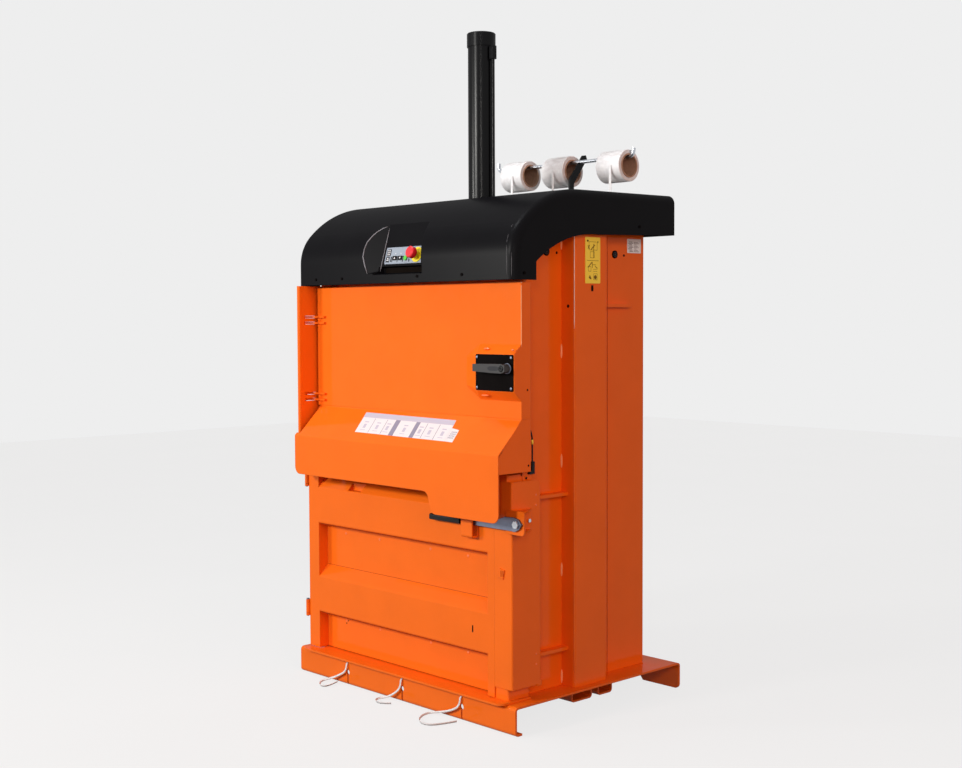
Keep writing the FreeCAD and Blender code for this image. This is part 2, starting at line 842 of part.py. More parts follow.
def leverBracket():
    """A front plate with a flange along the lock cover's side and two gussets between them."""
    front = leverRearY + 0.5
    rear = front + bracketSheet
    left = lockCoverRight - 14
    face = roundedPlateY(left, bracketRight, bracketBottom, bracketTop, front, rear, 9)
    flange = box(lockCoverRight, lockCoverRight + bracketSheet, rear - 0.5, bracketRear,
                 bracketBottom + 3, bracketTop - 3)
    plan = [
        (lockCoverRight, rear),
        (bracketRight - 4, rear),
        (lockCoverRight + bracketSheet, bracketRear - 4),
        (lockCoverRight, bracketRear - 4),
    ]
    pieces = [face, flange]
    for low in (bracketBottom + 3, bracketTop - 3 - bracketSheet):
        pieces.append(prismZ(plan, low, low + bracketSheet))
    pieces.append(box(left + 2, lockCoverRight - 4, rear, ribFaceY, bracketBottom + 9, bracketTop - 9))
    bolt = Vec(lockCoverRight + bracketSheet, bracketRear - 12, leverHeight + 1)
    pieces.append(roundBar(bolt, bolt + Vec(4, 0, 0), 5))
    hole = roundBar(Vec(leverX, 0, leverHeight), Vec(leverX, 12, leverHeight), leverPinRadius)
    return fuseAll(pieces).cut(hole)


def leverPin():
    nutFront = leverRearY - leverSheet - 0.5
    pin = roundBar(Vec(leverX, nutFront - 3, leverHeight), Vec(leverX, leverRearY + 0.5 + 9, leverHeight),
                   leverPinRadius)
    corners = [Vec(leverX + 11 * math.cos(k * math.pi / 3), nutFront, leverHeight + 11 * math.sin(k * math.pi / 3))
               for k in range(6)]
    nut = Part.Face(polygonWire(corners)).extrude(Vec(0, -6, 0))
    return fuseAll([pin, nut])


def lockLever():
    rearY = leverRearY
    frontY = rearY - leverSheet
    left = leverX - leverLength
    outline = [
        (leverX + 19, leverHeight + 1),
        (leverX + 7, leverHeight + 14),
        (leverX - 10, leverHeight + 18),
        (leverX - 45, leverHeight + 17),
        (leverX - 77, leverHeight + 5),
        (left, leverHeight - leverDrop + 6),
        (left - gripLength * 0.7, leverHeight - leverDrop * 1.6 + 5),
        (left - gripLength * 0.7, leverHeight - leverDrop * 1.6 - 7),
        (left, leverHeight - leverDrop - 10),
        (leverX - 30, leverHeight - 19),
        (leverX - 6, leverHeight - 20),
        (leverX + 10, leverHeight - 12),
    ]
    plate = prismY(outline, frontY, rearY)
    hole = roundBar(Vec(leverX, frontY - 1, leverHeight), Vec(leverX, rearY + 1, leverHeight),
                    leverPinRadius + pinClearance)
    return plate.cut(hole)


def leverGrip():
    right = leverX - leverLength - 3
    middleY = leverRearY - leverSheet / 2
    middleZ = leverHeight - leverDrop * 1.4 - 1
    grip = box(right - gripLength, right, middleY - gripDepth / 2, middleY + gripDepth / 2 - 5,
               middleZ - gripHeight / 2, middleZ + gripHeight / 2)
    long = [e for e in grip.Edges if abs(e.tangentAt(e.FirstParameter).x) > 0.99]
    grip = grip.makeFillet(5, long)
    return grip.cut(lockLever())


def leverCatch():
    sheet = 5.0
    section = [
        (ribFaceY - sheet / 2, leverHeight + 14),
        (ribFaceY - sheet / 2, leverHeight - 52),
        (ribFaceY - sheet / 2 - 20, leverHeight - 52),
        (ribFaceY - sheet / 2 - 20, leverHeight - 5),
    ]
    return foldedX(section, sheet, sheet * 0.9, catchLeft, catchRight)


def frontHeader():
    section = [
        (jambFrontY + 2.5, headerBottom),
        (jambFrontY + 2.5, headerTop - 2.5),
        (wallFrontY, headerTop - 2.5),
    ]
    header = foldedX(section, 5, 6, -postInnerX, postInnerX)
    return header


def topPlate():
    plate = box(-columnOuterX, columnOuterX, topPlateFront, wallRearY, chamberTop, chamberTop + topPlateSheet)
    hole = Part.makeCylinder(cylinderRadius + 0.3, 60, Vec(0, cylinderY, chamberTop - 20))
    return plate.cut(hole)


def equipmentShelf():
    section = [
        (hoodSheet * 1.5, shelfHeight + 18),
        (hoodSheet * 1.5, shelfHeight + shelfSheet / 2),
        (jambFrontY, shelfHeight + shelfSheet / 2),
    ]
    return foldedX(section, shelfSheet, shelfSheet * 1.2, -370, 370)


def pumpMotor():
    low = shelfHeight + shelfSheet
    axisZ = low + 38
    body = roundBar(Vec(-350, 44, axisZ), Vec(-215, 44, axisZ), 27)
    fan = roundBar(Vec(-352, 44, axisZ), Vec(-372, 44, axisZ), 24)
    neck = roundBar(Vec(-372, 44, axisZ), Vec(-190, 44, axisZ), 12)
    foot = box(-330, -240, 24, 64, low, axisZ)
    terminal = box(-310, -265, 28, 60, axisZ, axisZ + 42)
    return fuseAll([body, fan, neck, foot, terminal])


def oilTank():
    low = shelfHeight + shelfSheet
    tank = box(150, 340, 24, 72, low, low + 120)
    return tank.makeFillet(8, [e for e in tank.Edges if isVertical(e)])


def hoodTopAt(y):
    """The height of the hood's top, which rises a little behind its rounded front."""
    share = (y - hoodRoundDepth) / (hoodRear - hoodRoundDepth)
    return hoodTop + (hoodRearTop - hoodTop) * share


def hoodProfile(inset, lowered):
    """The hood's side view.  inset shrinks it inwards, lowered lets it run out below."""
    front = inset
    rear = hoodRear - inset
    crest = Vec(0, hoodRoundDepth, hoodTop)
    ahead = Vec(0, hoodRear - hoodRoundDepth, hoodRearTop - hoodTop).normalize()
    down = Vec(0, ahead.z, -ahead.y)
    lowCentre = Vec(0, hoodFrontRadius, hoodBendStart)
    reach = crest - lowCentre
    upperRadius = (hoodFrontRadius ** 2 - reach.dot(reach)) / 2 / (reach.dot(down) + hoodFrontRadius)
    highCentre = crest + down * upperRadius
    out = (lowCentre - highCentre).normalize()
    lowRadius = hoodFrontRadius - inset
    highRadius = upperRadius - inset
    start = Vec(0, front, hoodBendStart)
    joint = lowCentre + out * lowRadius
    end = crest + down * inset
    lowMiddle = lowCentre + (Vec(0, -1, 0) + out).normalize() * lowRadius
    highMiddle = highCentre + (out - down).normalize() * highRadius
    arcMiddle = Vec(0, hoodArcMiddleY + lowered * 0.6, hoodArcMiddle - lowered * 0.8)
    points = [
        end,
        end + ahead * ((rear - end.y) / ahead.y),
        Vec(0, rear, hoodRearBottom - lowered),
        Vec(0, hoodArcEndY, hoodArcEnd - lowered),
    ]
    arcStart = Vec(0, hoodSideStep + lowered, hoodArcStart - lowered)
    edges = [Part.Arc(start, lowMiddle, joint).toShape(), Part.Arc(joint, highMiddle, end).toShape()]
    for a, b in zip(points, points[1:]):
        edges.append(Part.LineSegment(a, b).toShape())
    edges.append(Part.Arc(points[-1], arcMiddle, arcStart).toShape())
    corners = [
        arcStart,
        Vec(0, hoodSideStep + lowered, hoodFrontBottom - lowered),
        Vec(0, front, hoodFrontBottom - lowered),
        start,
    ]
    for a, b in zip(corners, corners[1:]):
        edges.append(Part.LineSegment(a, b).toShape())
    return Part.Wire(Part.__sortEdges__(edges))


def hoodBody(inset, lowered):
    half = hoodHalfWidth - inset
    face = Part.Face(hoodProfile(inset, lowered))
    body = face.extrude(Vec(half * 2, 0, 0))
    body.translate(Vec(-half, 0, 0))
    radius = hoodCornerRadius - inset
    chosen = [e for e in body.Edges if isHoodCorner(e, half, inset)]
    return body.makeFillet(radius, chosen)


def isHoodCorner(edge, half, inset):
    """The front corner on each side, and the long curve above it."""
    point = edge.CenterOfMass
    if abs(abs(point.x) - half) > 0.01:
        return False
    box3 = edge.BoundBox
    upFront = box3.YMax < inset + 1 and isVertical(edge)
    overBend = edge.Curve.TypeId == "Part::GeomCircle" and box3.ZMin > hoodBendStart - 1
    alongTop = box3.ZMin > hoodTop - inset - 1
    return upFront or overBend or alongTop


def panelFrame(shape):
    """From panel coordinates, X across, Y up the slope and Z outwards, to the machine."""
    tilt = FreeCAD.Rotation(Vec(1, 0, 0), 90 - panelTilt)
    moved = shape.copy()
    moved.Placement = FreeCAD.Placement(Vec(0, panelBaseY, panelBaseHeight), tilt)
    return moved


def panelPocket(deeper):
    """The drafted pocket that the hood's front is pressed in by, in panel coordinates."""
    high = 175.0
    far = 90.0
    low = [
        (-100 - deeper, -deeper),
        (104 + deeper, -deeper),
        (82 + deeper, high),
        (-91 - deeper, high),
    ]
    out = [
        (-100 - far * 2.0 - deeper * 1.5, -far * 0.75 - deeper),
        (104 + far * 0.4 + deeper, -far * 0.75 - deeper),
        (82 + far * 0.4 + deeper, high),
        (-91 - far * 2.0 - deeper * 1.5, high),
    ]
    wires = [
        polygonWire([Vec(x, y, -deeper) for x, y in low]),
        polygonWire([Vec(x, y, far) for x, y in out]),
    ]
    return panelFrame(Part.makeLoft(wires, True, True))


def underPanel(deeper):
    """The hollow under the control plate, which overhangs it."""
    base = panelBaseHeight
    front = [(-112, base - 12.5), (116, base - 12.5), (116, base + 19), (-112, base + 19)]
    rear = [(-98, base - 7), (100, base - 7), (100, base + 9), (-98, base + 9)]
    wires = []
    for y, corners in ((-5, front), (38 + deeper, rear)):
        grown = []
        for x, z in corners:
            grown.append(Vec(x + math.copysign(deeper, x), y, z + (deeper if z > base else -deeper)))
        wires.append(polygonWire(grown))
    return Part.makeLoft(wires, True, True)


def hoodShell():
    """One moulded shell: rounded front, stepped sides and a drafted control pocket."""
    outer = hoodBody(0, 0)
    inner = hoodBody(hoodSheet, hoodSheet + 1)
    pocket = panelPocket(0).fuse(underPanel(0))
    pocketWall = panelPocket(hoodSheet).fuse(underPanel(hoodSheet))
    shell = outer.cut(pocket).cut(inner.cut(pocketWall))
    tubeHole = Part.makeCylinder(cylinderRadius + 2, 200, Vec(0, cylinderY, hoodTop - 100))
    pipeHole = Part.makeCylinder(6, 200, Vec(cylinderRadius + 10, cylinderY, hoodTop - 100))
    shell = shell.cut(tubeHole.fuse(pipeHole))
    for x in tailXs:
        shell = shell.cut(box(x - tailWidth, x + tailWidth, tailY() - 5, tailY() + 6, hoodTop - 30,
                              hoodRearTop + 1))
    for x, up, radius in panelHoles():
        shell = shell.cut(panelFrame(Part.makeCylinder(radius, 30, Vec(x, up, -20))))
    return shell


def panelHoles():
    holes = [(stopX, stopUp, 9.0), (startX, startUp, startRadius - 1.0)]
    for left in keyLefts:
        holes.append((left + keyWidth / 2, keyUp + keyHeight / 2, keyHeight / 2 - 1))
    return holes


def controlPlate():
    plate = box(plateLeft, plateRight, plateLow, plateHigh, 0, plateSheet)
    plate = plate.makeFillet(5, [e for e in plate.Edges if isVertical(e)])
    for x, up, radius in panelHoles():
        plate = plate.cut(Part.makeCylinder(radius + 1.2, 30, Vec(x, up, -20)))
    for left in keyLefts:
        window = box(left - 0.6, left + keyWidth + 0.6, keyUp - 0.6, keyUp + keyHeight + 0.6, -5, 5)
        plate = plate.cut(window)
    return panelFrame(plate)


def stopDisc():
    disc = Part.makeCylinder(stopDiscRadius, 2, Vec(stopX, stopUp, plateSheet))
    collar = Part.makeCylinder(13, stopCollar, Vec(stopX, stopUp, plateSheet))
    hole = Part.makeCylinder(7.5, 40, Vec(stopX, stopUp, -20))
    return panelFrame(fuseAll([disc, collar]).cut(hole))


def stopButton():
    base = plateSheet + stopCollar + stopTravel + 1
    head = Part.makeCylinder(stopRadius, stopHead, Vec(stopX, stopUp, base))
    head = head.makeChamfer(3, [e for e in head.Edges if e.CenterOfMass.z > base + stopHead - 0.1])
    stem = Part.makeCylinder(7.0, base + 14, Vec(stopX, stopUp, -13))
    return panelFrame(fuseAll([head, stem]))


def startButton():
    head = Part.makeCylinder(startRadius, 3, Vec(startX, startUp, plateSheet + buttonTravel + 0.6))
    stem = Part.makeCylinder(startRadius - 1.6, plateSheet + buttonTravel + 10, Vec(startX, startUp, -9))
    return panelFrame(fuseAll([head, stem]))


def panelKey(left):
    top = plateSheet + buttonTravel + 0.4
    key = box(left, left + keyWidth, keyUp, keyUp + keyHeight, buttonTravel + 0.2, top)
    upright = [e for e in key.Edges if isVertical(e)]
    key = key.makeFillet(1.5, upright)
    stem = Part.makeCylinder(keyHeight / 2 - 1.6, top + 8,
                             Vec(left + keyWidth / 2, keyUp + keyHeight / 2, -9))
    return panelFrame(fuseAll([key, stem]))


def controlBox():
    """The switch box behind the pocket, which carries the buttons."""
    body = box(-88, 92, boxLow, 78, -26, -hoodSheet)
    hollow = box(-85, 89, boxLow + 3, 75, -23, -hoodSheet + 1)
    return panelFrame(body.cut(hollow))


def hoodScrewPoints():
    """Each screw's place on the hood's skin and the way out from it."""
    points = []
    for x in hoodScrewXs:
        points.append((Vec(x, 0, hoodScrewHeight), Vec(0, -1, 0)))
    for side in (-1, 1):
        for y, z in hoodSideScrews:
            points.append((Vec(side * hoodHalfWidth, y, z), Vec(side, 0, 0)))
    return points


def hoodScrews():
    """Screw heads, each a short twelve-sided block on the hood's skin."""
    screws = []
    for place, out in hoodScrewPoints():
        across = Vec(0, 0, 1).cross(out)
        turns = [k * math.pi / 6 for k in range(12)]
        rim = [place + across * (screwHead * math.cos(t)) + Vec(0, 0, screwHead * math.sin(t)) for t in turns]
        screws.append(Part.Face(polygonWire(rim)).extrude(out * 1.8))
    return Part.makeCompound(screws)


def hoodBrackets():
    """Angles on the side walls that the hood's lower side edges are screwed to."""
    half = wallSheet / 2
    y, z = hoodSideScrews[-1]
    section = [
        (wallOuterX, y - 25 + half),
        (hoodHalfWidth - hoodSheet - half, y - 25 + half),
        (hoodHalfWidth - hoodSheet - half, y + 25),
    ]
    bracket = foldedZ(section, wallSheet, wallSheet * 1.3, z - 14, z + 14)
    return Part.makeCompound([bracket, mirrored(bracket)])


def wallPlugs():
    """Black snap-in plugs that close the bolt holes high in the side walls."""
    plugs = []
    for side in (-1, 1):
        for y in plugYs:
            skin = Vec(side * wallOuterX, y, plugHeight)
            plugs.append(roundBar(skin, skin + Vec(side * 2.5, 0, 0), plugRadius))
    return Part.makeCompound(plugs)


def sidePlate(x, y0, y1, z0, z1, rivets):
    """A thin bare plate on a side face, with the rivets or screws that hold it."""
    plate = box(x, x + plateThickness, y0, y1, z0, z1)
    plate = plate.makeFillet(3, [e for e in plate.Edges if abs(e.tangentAt(e.FirstParameter).x) > 0.99])
    heads = [plate]
    for y, z in rivets:
        heads.append(roundBar(Vec(x + plateThickness, y, z), Vec(x + plateThickness + 1.2, y, z), 3))
    return fuseAll(heads)


def cylinderTube():
    outer = Part.makeCylinder(cylinderRadius, cylinderTop - cylinderBottom, Vec(0, cylinderY, cylinderBottom))
    bore = Part.makeCylinder(boreRadius, cylinderTop - cylinderBottom - glandHeight + 1,
                             Vec(0, cylinderY, cylinderBottom + glandHeight))
    rodHole = Part.makeCylinder(rodRadius + runningClearance, glandHeight + 2,
                                Vec(0, cylinderY, cylinderBottom - 1))
    flangeLow = chamberTop + topPlateSheet
    flange = Part.makeCylinder(cylinderRadius + 22, ringHeight, Vec(0, cylinderY, flangeLow))
    return outer.fuse(flange).removeSplitter().cut(bore).cut(rodHole)


def cylinderCap():
    cap = Part.makeCylinder(capRadius, capHeight, Vec(0, cylinderY, cylinderTop))
    cap = cap.makeChamfer(2.5, [e for e in cap.Edges if e.CenterOfMass.z > cylinderTop + capHeight - 0.1])
    skirt = Part.makeCylinder(capRadius, 18, Vec(0, cylinderY, cylinderTop - 18))
    skirt = skirt.cut(Part.makeCylinder(cylinderRadius, 18, Vec(0, cylinderY, cylinderTop - 18)))
    return fuseAll([cap, skirt])


def oilPipe():
    """The pipe that feeds the head of the cylinder, beside the tube."""
    x = cylinderRadius + 10
    fitting = box(cylinderRadius - 2, x + 8, cylinderY - 8, cylinderY + 8, cylinderTop - 60,
                  cylinderTop - 20)
    fitting = fitting.cut(Part.makeCylinder(capRadius, 200, Vec(0, cylinderY, cylinderTop - 100)))
    low = chamberTop + topPlateSheet + ringHeight
    pipe = Part.makeCylinder(4, cylinderTop - 60 - low, Vec(x, cylinderY, low))
    return fuseAll([fitting, pipe])


def pistonRod():
    length = pistonBottom + pistonHeight - pressBottom - pressHeight
    rod = Part.makeCylinder(rodRadius, length, Vec(0, cylinderY, pressBottom + pressHeight))
    piston = Part.makeCylinder(boreRadius - runningClearance, pistonHeight, Vec(0, cylinderY, pistonBottom))
    return fuseAll([rod, piston])


def pressPlate():
    """A stiff box plate: a face sheet with a skirt, cross ribs and a rod socket."""
    top = pressBottom + pressHeight
    face = box(-pressHalfWidth, pressHalfWidth, pressFrontY, pressRearY, pressBottom,
               pressBottom + pressSheet)
    pieces = [face]
    pieces.append(box(-pressHalfWidth, pressHalfWidth, pressFrontY, pressFrontY + pressSheet,
                      pressBottom, top - 20))
    pieces.append(box(-pressHalfWidth, pressHalfWidth, pressRearY - pressSheet, pressRearY,
                      pressBottom, top - 20))
    for x in (-pressHalfWidth, -130, 130 - pressSheet, pressHalfWidth - pressSheet):
        pieces.append(box(x, x + pressSheet, pressFrontY, pressRearY, pressBottom, top - 20))
    pieces.append(box(-130, 130, cylinderY - 60, cylinderY - 52, pressBottom, top - 20))
    pieces.append(box(-130, 130, cylinderY + 52, cylinderY + 60, pressBottom, top - 20))
    pieces.append(Part.makeCylinder(44, pressHeight, Vec(0, cylinderY, pressBottom)))
    return fuseAll(pieces)


def rollRod():
    z = rollRodHeight()
    points = [
        Vec(rollRodLeft, rollY, z + 26),
        Vec(rollRodLeft, rollY, z),
        Vec(rollRodRight, rollY, z),
        Vec(rollRodRight + 5, rollY, z + 26),
    ]
    return roundPath(points, rollRodRadius, 0.5)


def rollRodHeight():
    """The rod's middle, so that the cores hang on it by the top of their bores."""
    return rollHeight + coreBore - rollRodRadius - runningClearance


def rollArm():
    """The upright that carries the rod, cranked back above the hood, with its foot."""
    left = rollArmX - rollArmSheet / 2
    right = rollArmX + rollArmSheet / 2
    front = rollArmFrontY
    rear = rollArmFrontY + rollArmWidth
    rodZ = rollRodHeight()
    outline = [
        (front, hoodTopAt(front)),
        (rear, hoodTopAt(rear)),
        (rear, rodZ - 70),
        (rear + 62, rodZ + 12),
        (rear + 56, rodZ + 24),
        (rear + 42, rodZ + 22),
        (front, rodZ - 58),
    ]
    bar = prismX(outline, left, right)
    sole = [(front - 8, hoodTopAt(front - 8)), (rear + 12, hoodTopAt(rear + 12))]
    foot = prismX(sole + [(y, z + 5) for y, z in reversed(sole)], left, right + 22)
    hole = roundBar(Vec(left - 1, rollY, rodZ), Vec(right + 1, rollY, rodZ), rollRodRadius)
    return fuseAll([bar, foot]).cut(hole)


def rollCore(x):
    core = roundBar(Vec(x - coreWidth / 2, rollY, rollHeight), Vec(x + coreWidth / 2, rollY, rollHeight),
                    coreRadius)
    bore = roundBar(Vec(x - coreWidth, rollY, rollHeight), Vec(x + coreWidth, rollY, rollHeight), coreBore)
    return core.cut(bore)


def rollStrap(x):
    wound = roundBar(Vec(x - rollWidth / 2, rollY, rollHeight), Vec(x + rollWidth / 2, rollY, rollHeight),
                     rollRadius)
    core = roundBar(Vec(x - rollWidth, rollY, rollHeight), Vec(x + rollWidth, rollY, rollHeight), coreRadius)
    return wound.cut(core)


def strapTail(x):
    """The strap from the front of a roll straight down the back to its guide."""
    y = tailY()
    return box(x - tailWidth / 2, x + tailWidth / 2, y, y + tailThickness, tailBottom, rollHeight)


def tailY():
    return rollY - rollRadius - tailThickness - 0.6


def strapEnd(x, points):
    """A loose end of strap from the sill, down the base and out over the floor."""
    return roundPath([Vec(x + dx, y, z) for dx, y, z in points], strapTube, 0.45, 6)


def sensorBracket():
    """A small plate on the post's side, with two screws, that carries the door switch."""
    plate = box(postOuterX, postOuterX + 3, 70, 108, 684, 722)
    screws = []
    for z in (694, 712):
        screws.append(roundBar(Vec(postOuterX + 3, 84, z), Vec(postOuterX + 6, 84, z), 4))
    return fuseAll([plate] + screws)


def doorSensor():
    """The door switch, its angled plug and the lead that runs up into the frame."""
    x = postOuterX + 3
    y = 103.0
    body = box(x, x + 10, y - 14, y + 5, 704, 713)
    plug = box(x, x + 10, y - 5, y + 5, 713, 738)
    lead = roundPath([
        Vec(x + 5, y, 738),
        Vec(x + 5, y, 806),
        Vec(x - 6, y, 832),
        Vec(wallOuterX, y, 846),
    ], 2.2, 0.45, 6)
    return fuseAll([body, plug, lead])


def writeNode(name, shape):
    placed = shape.copy()
    placed.translate(machineOrigin)
    placed.exportStep("parts/" + name + ".step")
    print(name, len(placed.Solids), "solid(s)", "valid" if placed.isValid() else "INVALID",
          round(placed.Volume / 1000.0), "cm3")


def makeEverything():
    right = sideWall()
    column = sideColumn()
    nodes = {
        "base_frame": baseFrame(),
        "base_runners": baseRunners(),
        "chamber_floor": chamberFloor(),
        "right_side_wall": right,
        "left_side_wall": mirrored(right),
        "rear_wall": rearWall(),
        "right_side_column": column,
        "left_side_column": mirrored(column),
        "wall_brackets": Part.makeCompound([sideRibs(), hoodBrackets()]),
        "right_front_post": fuseAll([rightPost(), sensorBracket()]),
        "left_front_post": leftPost(),
        "hinge_guard": hingeGuard(),
        "hinge_pins": hingePins(),
        "front_header": Part.makeCompound([frontHeader(), equipmentShelf()]),
        "top_plate": topPlate(),
        "pump_motor": pumpMotor(),
        "oil_tank": oilTank(),
        "loading_door_panel": loadingDoorPanel(),
        "chute_apron": chuteApron(),
        "hinge_fingers": hingeFingers(),
        "latch_plate": latchPlate(),
        "latch_handle": latchHandle(),
        "bale_door_panel": baleDoorPanel(),
        "bale_door_knuckles": baleDoorKnuckles(),
        "lock_cover": lockCover(),
        "lever_bracket": leverBracket(),
        "lever_pin": leverPin(),
        "lock_lever": lockLever(),
        "lever_grip": leverGrip(),
        "lever_catch": leverCatch(),
        "hood": hoodShell(),
        "hood_screws": hoodScrews(),
        "wall_plugs": wallPlugs(),
        "column_plate": sidePlate(columnOuterX, 306, 369, signTop - 136, signTop - 5,
                                  ((320, signTop - 124), (355, signTop - 17))),
        "wall_plate": sidePlate(wallOuterX, 545, 607, signTop - 42, signTop,
                                ((551, signTop - 36), (601, signTop - 6))),
        "control_box": controlBox(),
        "control_plate": controlPlate(),
        "stop_disc": stopDisc(),
        "stop_button": stopButton(),
        "start_button": startButton(),
        "up_key": panelKey(keyLefts[0]),
        "down_key": panelKey(keyLefts[1]),
        "cylinder_tube": cylinderTube(),
        "cylinder_cap": cylinderCap(),
        "oil_pipe": oilPipe(),
        "piston_rod": pistonRod(),
        "press_plate": pressPlate(),
        "roll_rod": rollRod(),
        "roll_arm": rollArm(),
        "door_sensor": doorSensor(),
    }
    for number, x in enumerate(rollXs, 1):
        nodes["roll_core_%d" % number] = rollCore(x)
        nodes["strap_roll_%d" % number] = rollStrap(x)
    for number, x in enumerate(strapXs(), 1):
        nodes["strap_end_%d" % number] = strapEnd(x, strapEnds[number - 1])
    nodes["strap_tails"] = Part.makeCompound([strapTail(x) for x in tailXs])
    return nodes


os.makedirs("parts", exist_ok=True)
for nodeName, nodeShape in makeEverything().items():
    writeNode(nodeName, nodeShape)
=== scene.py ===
import bpy
import bmesh
import math
from mathutils import Vector, Matrix


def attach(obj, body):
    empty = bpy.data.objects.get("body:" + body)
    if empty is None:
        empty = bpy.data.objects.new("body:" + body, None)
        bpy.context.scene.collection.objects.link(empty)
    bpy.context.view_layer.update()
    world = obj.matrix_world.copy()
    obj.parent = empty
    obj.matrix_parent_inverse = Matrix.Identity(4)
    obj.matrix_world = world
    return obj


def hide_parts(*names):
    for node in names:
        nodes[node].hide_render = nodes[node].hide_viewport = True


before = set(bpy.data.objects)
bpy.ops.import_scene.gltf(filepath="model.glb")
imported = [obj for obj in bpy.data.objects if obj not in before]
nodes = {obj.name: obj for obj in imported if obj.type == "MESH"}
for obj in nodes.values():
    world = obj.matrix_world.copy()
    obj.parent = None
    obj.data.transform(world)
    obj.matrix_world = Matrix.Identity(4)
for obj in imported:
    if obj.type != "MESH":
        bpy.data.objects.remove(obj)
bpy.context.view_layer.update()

machineShift = Vector((-0.015, -0.343, 0.0))  # the machine's own origin in the shared frame, in metres
hairGap = 0.00005  # metres: keeps turned profiles off their axis, and thin discs off the skin
toRight, toFront, upward = (1, 0, 0), (0, -1, 0), (0, 0, 1)


# A point of the machine in millimetres, turned into metres of the shared frame.
def at(x, y, z):
    return Vector((x, y, z)) / 1000 + machineShift


def tree(name):
    made = bpy.data.materials.new(name)
    made.use_nodes = True
    graph = made.node_tree
    return made, graph, graph.nodes["Principled BSDF"]


def place(graph):
    return graph.nodes.new("ShaderNodeTexCoord").outputs["Object"]


def noise(graph, where, size, detail=4.0):
    node = graph.nodes.new("ShaderNodeTexNoise")
    node.inputs["Scale"].default_value = 1.0 / size
    node.inputs["Detail"].default_value = detail
    graph.links.new(where, node.inputs["Vector"])
    return node.outputs["Fac"]


def ramp(graph, value, stops):
    node = graph.nodes.new("ShaderNodeValToRGB")
    band = node.color_ramp
    while len(band.elements) < len(stops):
        band.elements.new(0.5)
    for element, (spot, color) in zip(band.elements, stops):
        element.position = spot
        element.color = (*color, 1.0)
    graph.links.new(value, node.inputs["Fac"])
    return node.outputs["Color"]


def bump(graph, height, depth, strength, normal=None):
    node = graph.nodes.new("ShaderNodeBump")
    node.inputs["Strength"].default_value = strength
    node.inputs["Distance"].default_value = depth
    graph.links.new(height, node.inputs["Height"])
    if normal is not None:
        graph.links.new(normal, node.inputs["Normal"])
    return node.outputs["Normal"]


def soften(graph, radius):
    node = graph.nodes.new("ShaderNodeBevel")
    node.samples = 4
    node.inputs["Radius"].default_value = radius
    return node.outputs["Normal"]


# What a surface has unless its own line says otherwise.  spread and scuff are the drift of
# colour and roughness, patch and grain the sizes in metres of the drift and of the fine grain.
plainFinish = {"metallic": 0.0, "spread": 0.04, "patch": 0.12, "grain": 0.0012, "depth": 0.00004,
               "coat": 0.0, "coatRough": 0.1, "edge": 0.0012, "scuff": 0.05, "specular": 0.5}


# A painted, moulded or bare surface: drifting colour, fine grain and softened edges.
def finish(name, color, roughness, **options):
    setting = {**plainFinish, **options}
    made, graph, shader = tree(name)
    where = place(graph)
    low = tuple(c * (1 - setting["spread"]) for c in color)
    high = tuple(min(1.0, c * (1 + setting["spread"])) for c in color)
    tone = noise(graph, where, setting["patch"])
    graph.links.new(ramp(graph, tone, [(0.3, low), (0.7, high)]), shader.inputs["Base Color"])
    dull, bright = roughness + setting["scuff"], roughness - setting["scuff"]
    gloss = ramp(graph, noise(graph, where, setting["patch"] * 0.3, 6.0),
                 [(0.35, (bright,) * 3), (0.7, (dull,) * 3)])
    graph.links.new(gloss, shader.inputs["Roughness"])
    fine = noise(graph, where, setting["grain"], 2.0)
    normal = soften(graph, setting["edge"]) if setting["edge"] else None
    graph.links.new(bump(graph, fine, setting["depth"], 0.5, normal), shader.inputs["Normal"])
    if normal is not None:
        graph.links.new(normal, shader.inputs["Coat Normal"])
    shader.inputs["Metallic"].default_value = setting["metallic"]
    shader.inputs["Coat Weight"].default_value = setting["coat"]
    shader.inputs["Coat Roughness"].default_value = setting["coatRough"]
    shader.inputs["Specular IOR Level"].default_value = setting["specular"]
    return made


# Sheet steel, moulded parts, bare metal and card.
orange = finish("orange powder coat", (0.86, 0.148, 0.007), 0.6, coat=0.2, coatRough=0.07, spread=0.03,
                specular=0.05, edge=0.003)
thinOrange = finish("orange on small iron", (0.82, 0.13, 0.007), 0.65, spread=0.03, specular=0.05,
                    edge=0.0006)
weldOrange = finish("painted weld", (0.88, 0.16, 0.018), 0.45, coat=0.3, spread=0.08, patch=0.004,
                    grain=0.0008, depth=0.0002, edge=0)
hoodBlack = finish("hood black", (0.003, 0.0028, 0.0038), 0.5, patch=0.06, spread=0.1, specular=0.0,
                   coat=0.14, coatRough=0.36, scuff=0.01, depth=0.00001, edge=0.003)
steelBlack = finish("black lacquer", (0.001, 0.001, 0.0015), 0.5, spread=0.1, specular=0.0, coat=0.3,
                    coatRough=0.26, scuff=0.02, depth=0.000003)
plateBlack = finish("black plate", (0.003, 0.002, 0.002), 0.6, spread=0.12, specular=0.02)
darkPlastic = finish("black plastic", (0.004, 0.004, 0.005), 0.45, spread=0.1, specular=0.15)
greyPlastic = finish("grey plastic", (0.035, 0.034, 0.036), 0.42, spread=0.06, specular=0.2)
bareSteel = finish("blued steel", (0.15, 0.165, 0.22), 0.4, metallic=0.9, spread=0.15, patch=0.03)
zinc = finish("zinc plate", (0.5, 0.52, 0.56), 0.3, metallic=1.0, spread=0.12, patch=0.02)
chromed = finish("hard chrome", (0.75, 0.76, 0.78), 0.1, metallic=1.0, spread=0.02)
card = finish("brown card", (0.46, 0.29, 0.2), 0.85, spread=0.12, patch=0.01, grain=0.0006, depth=0.0001)

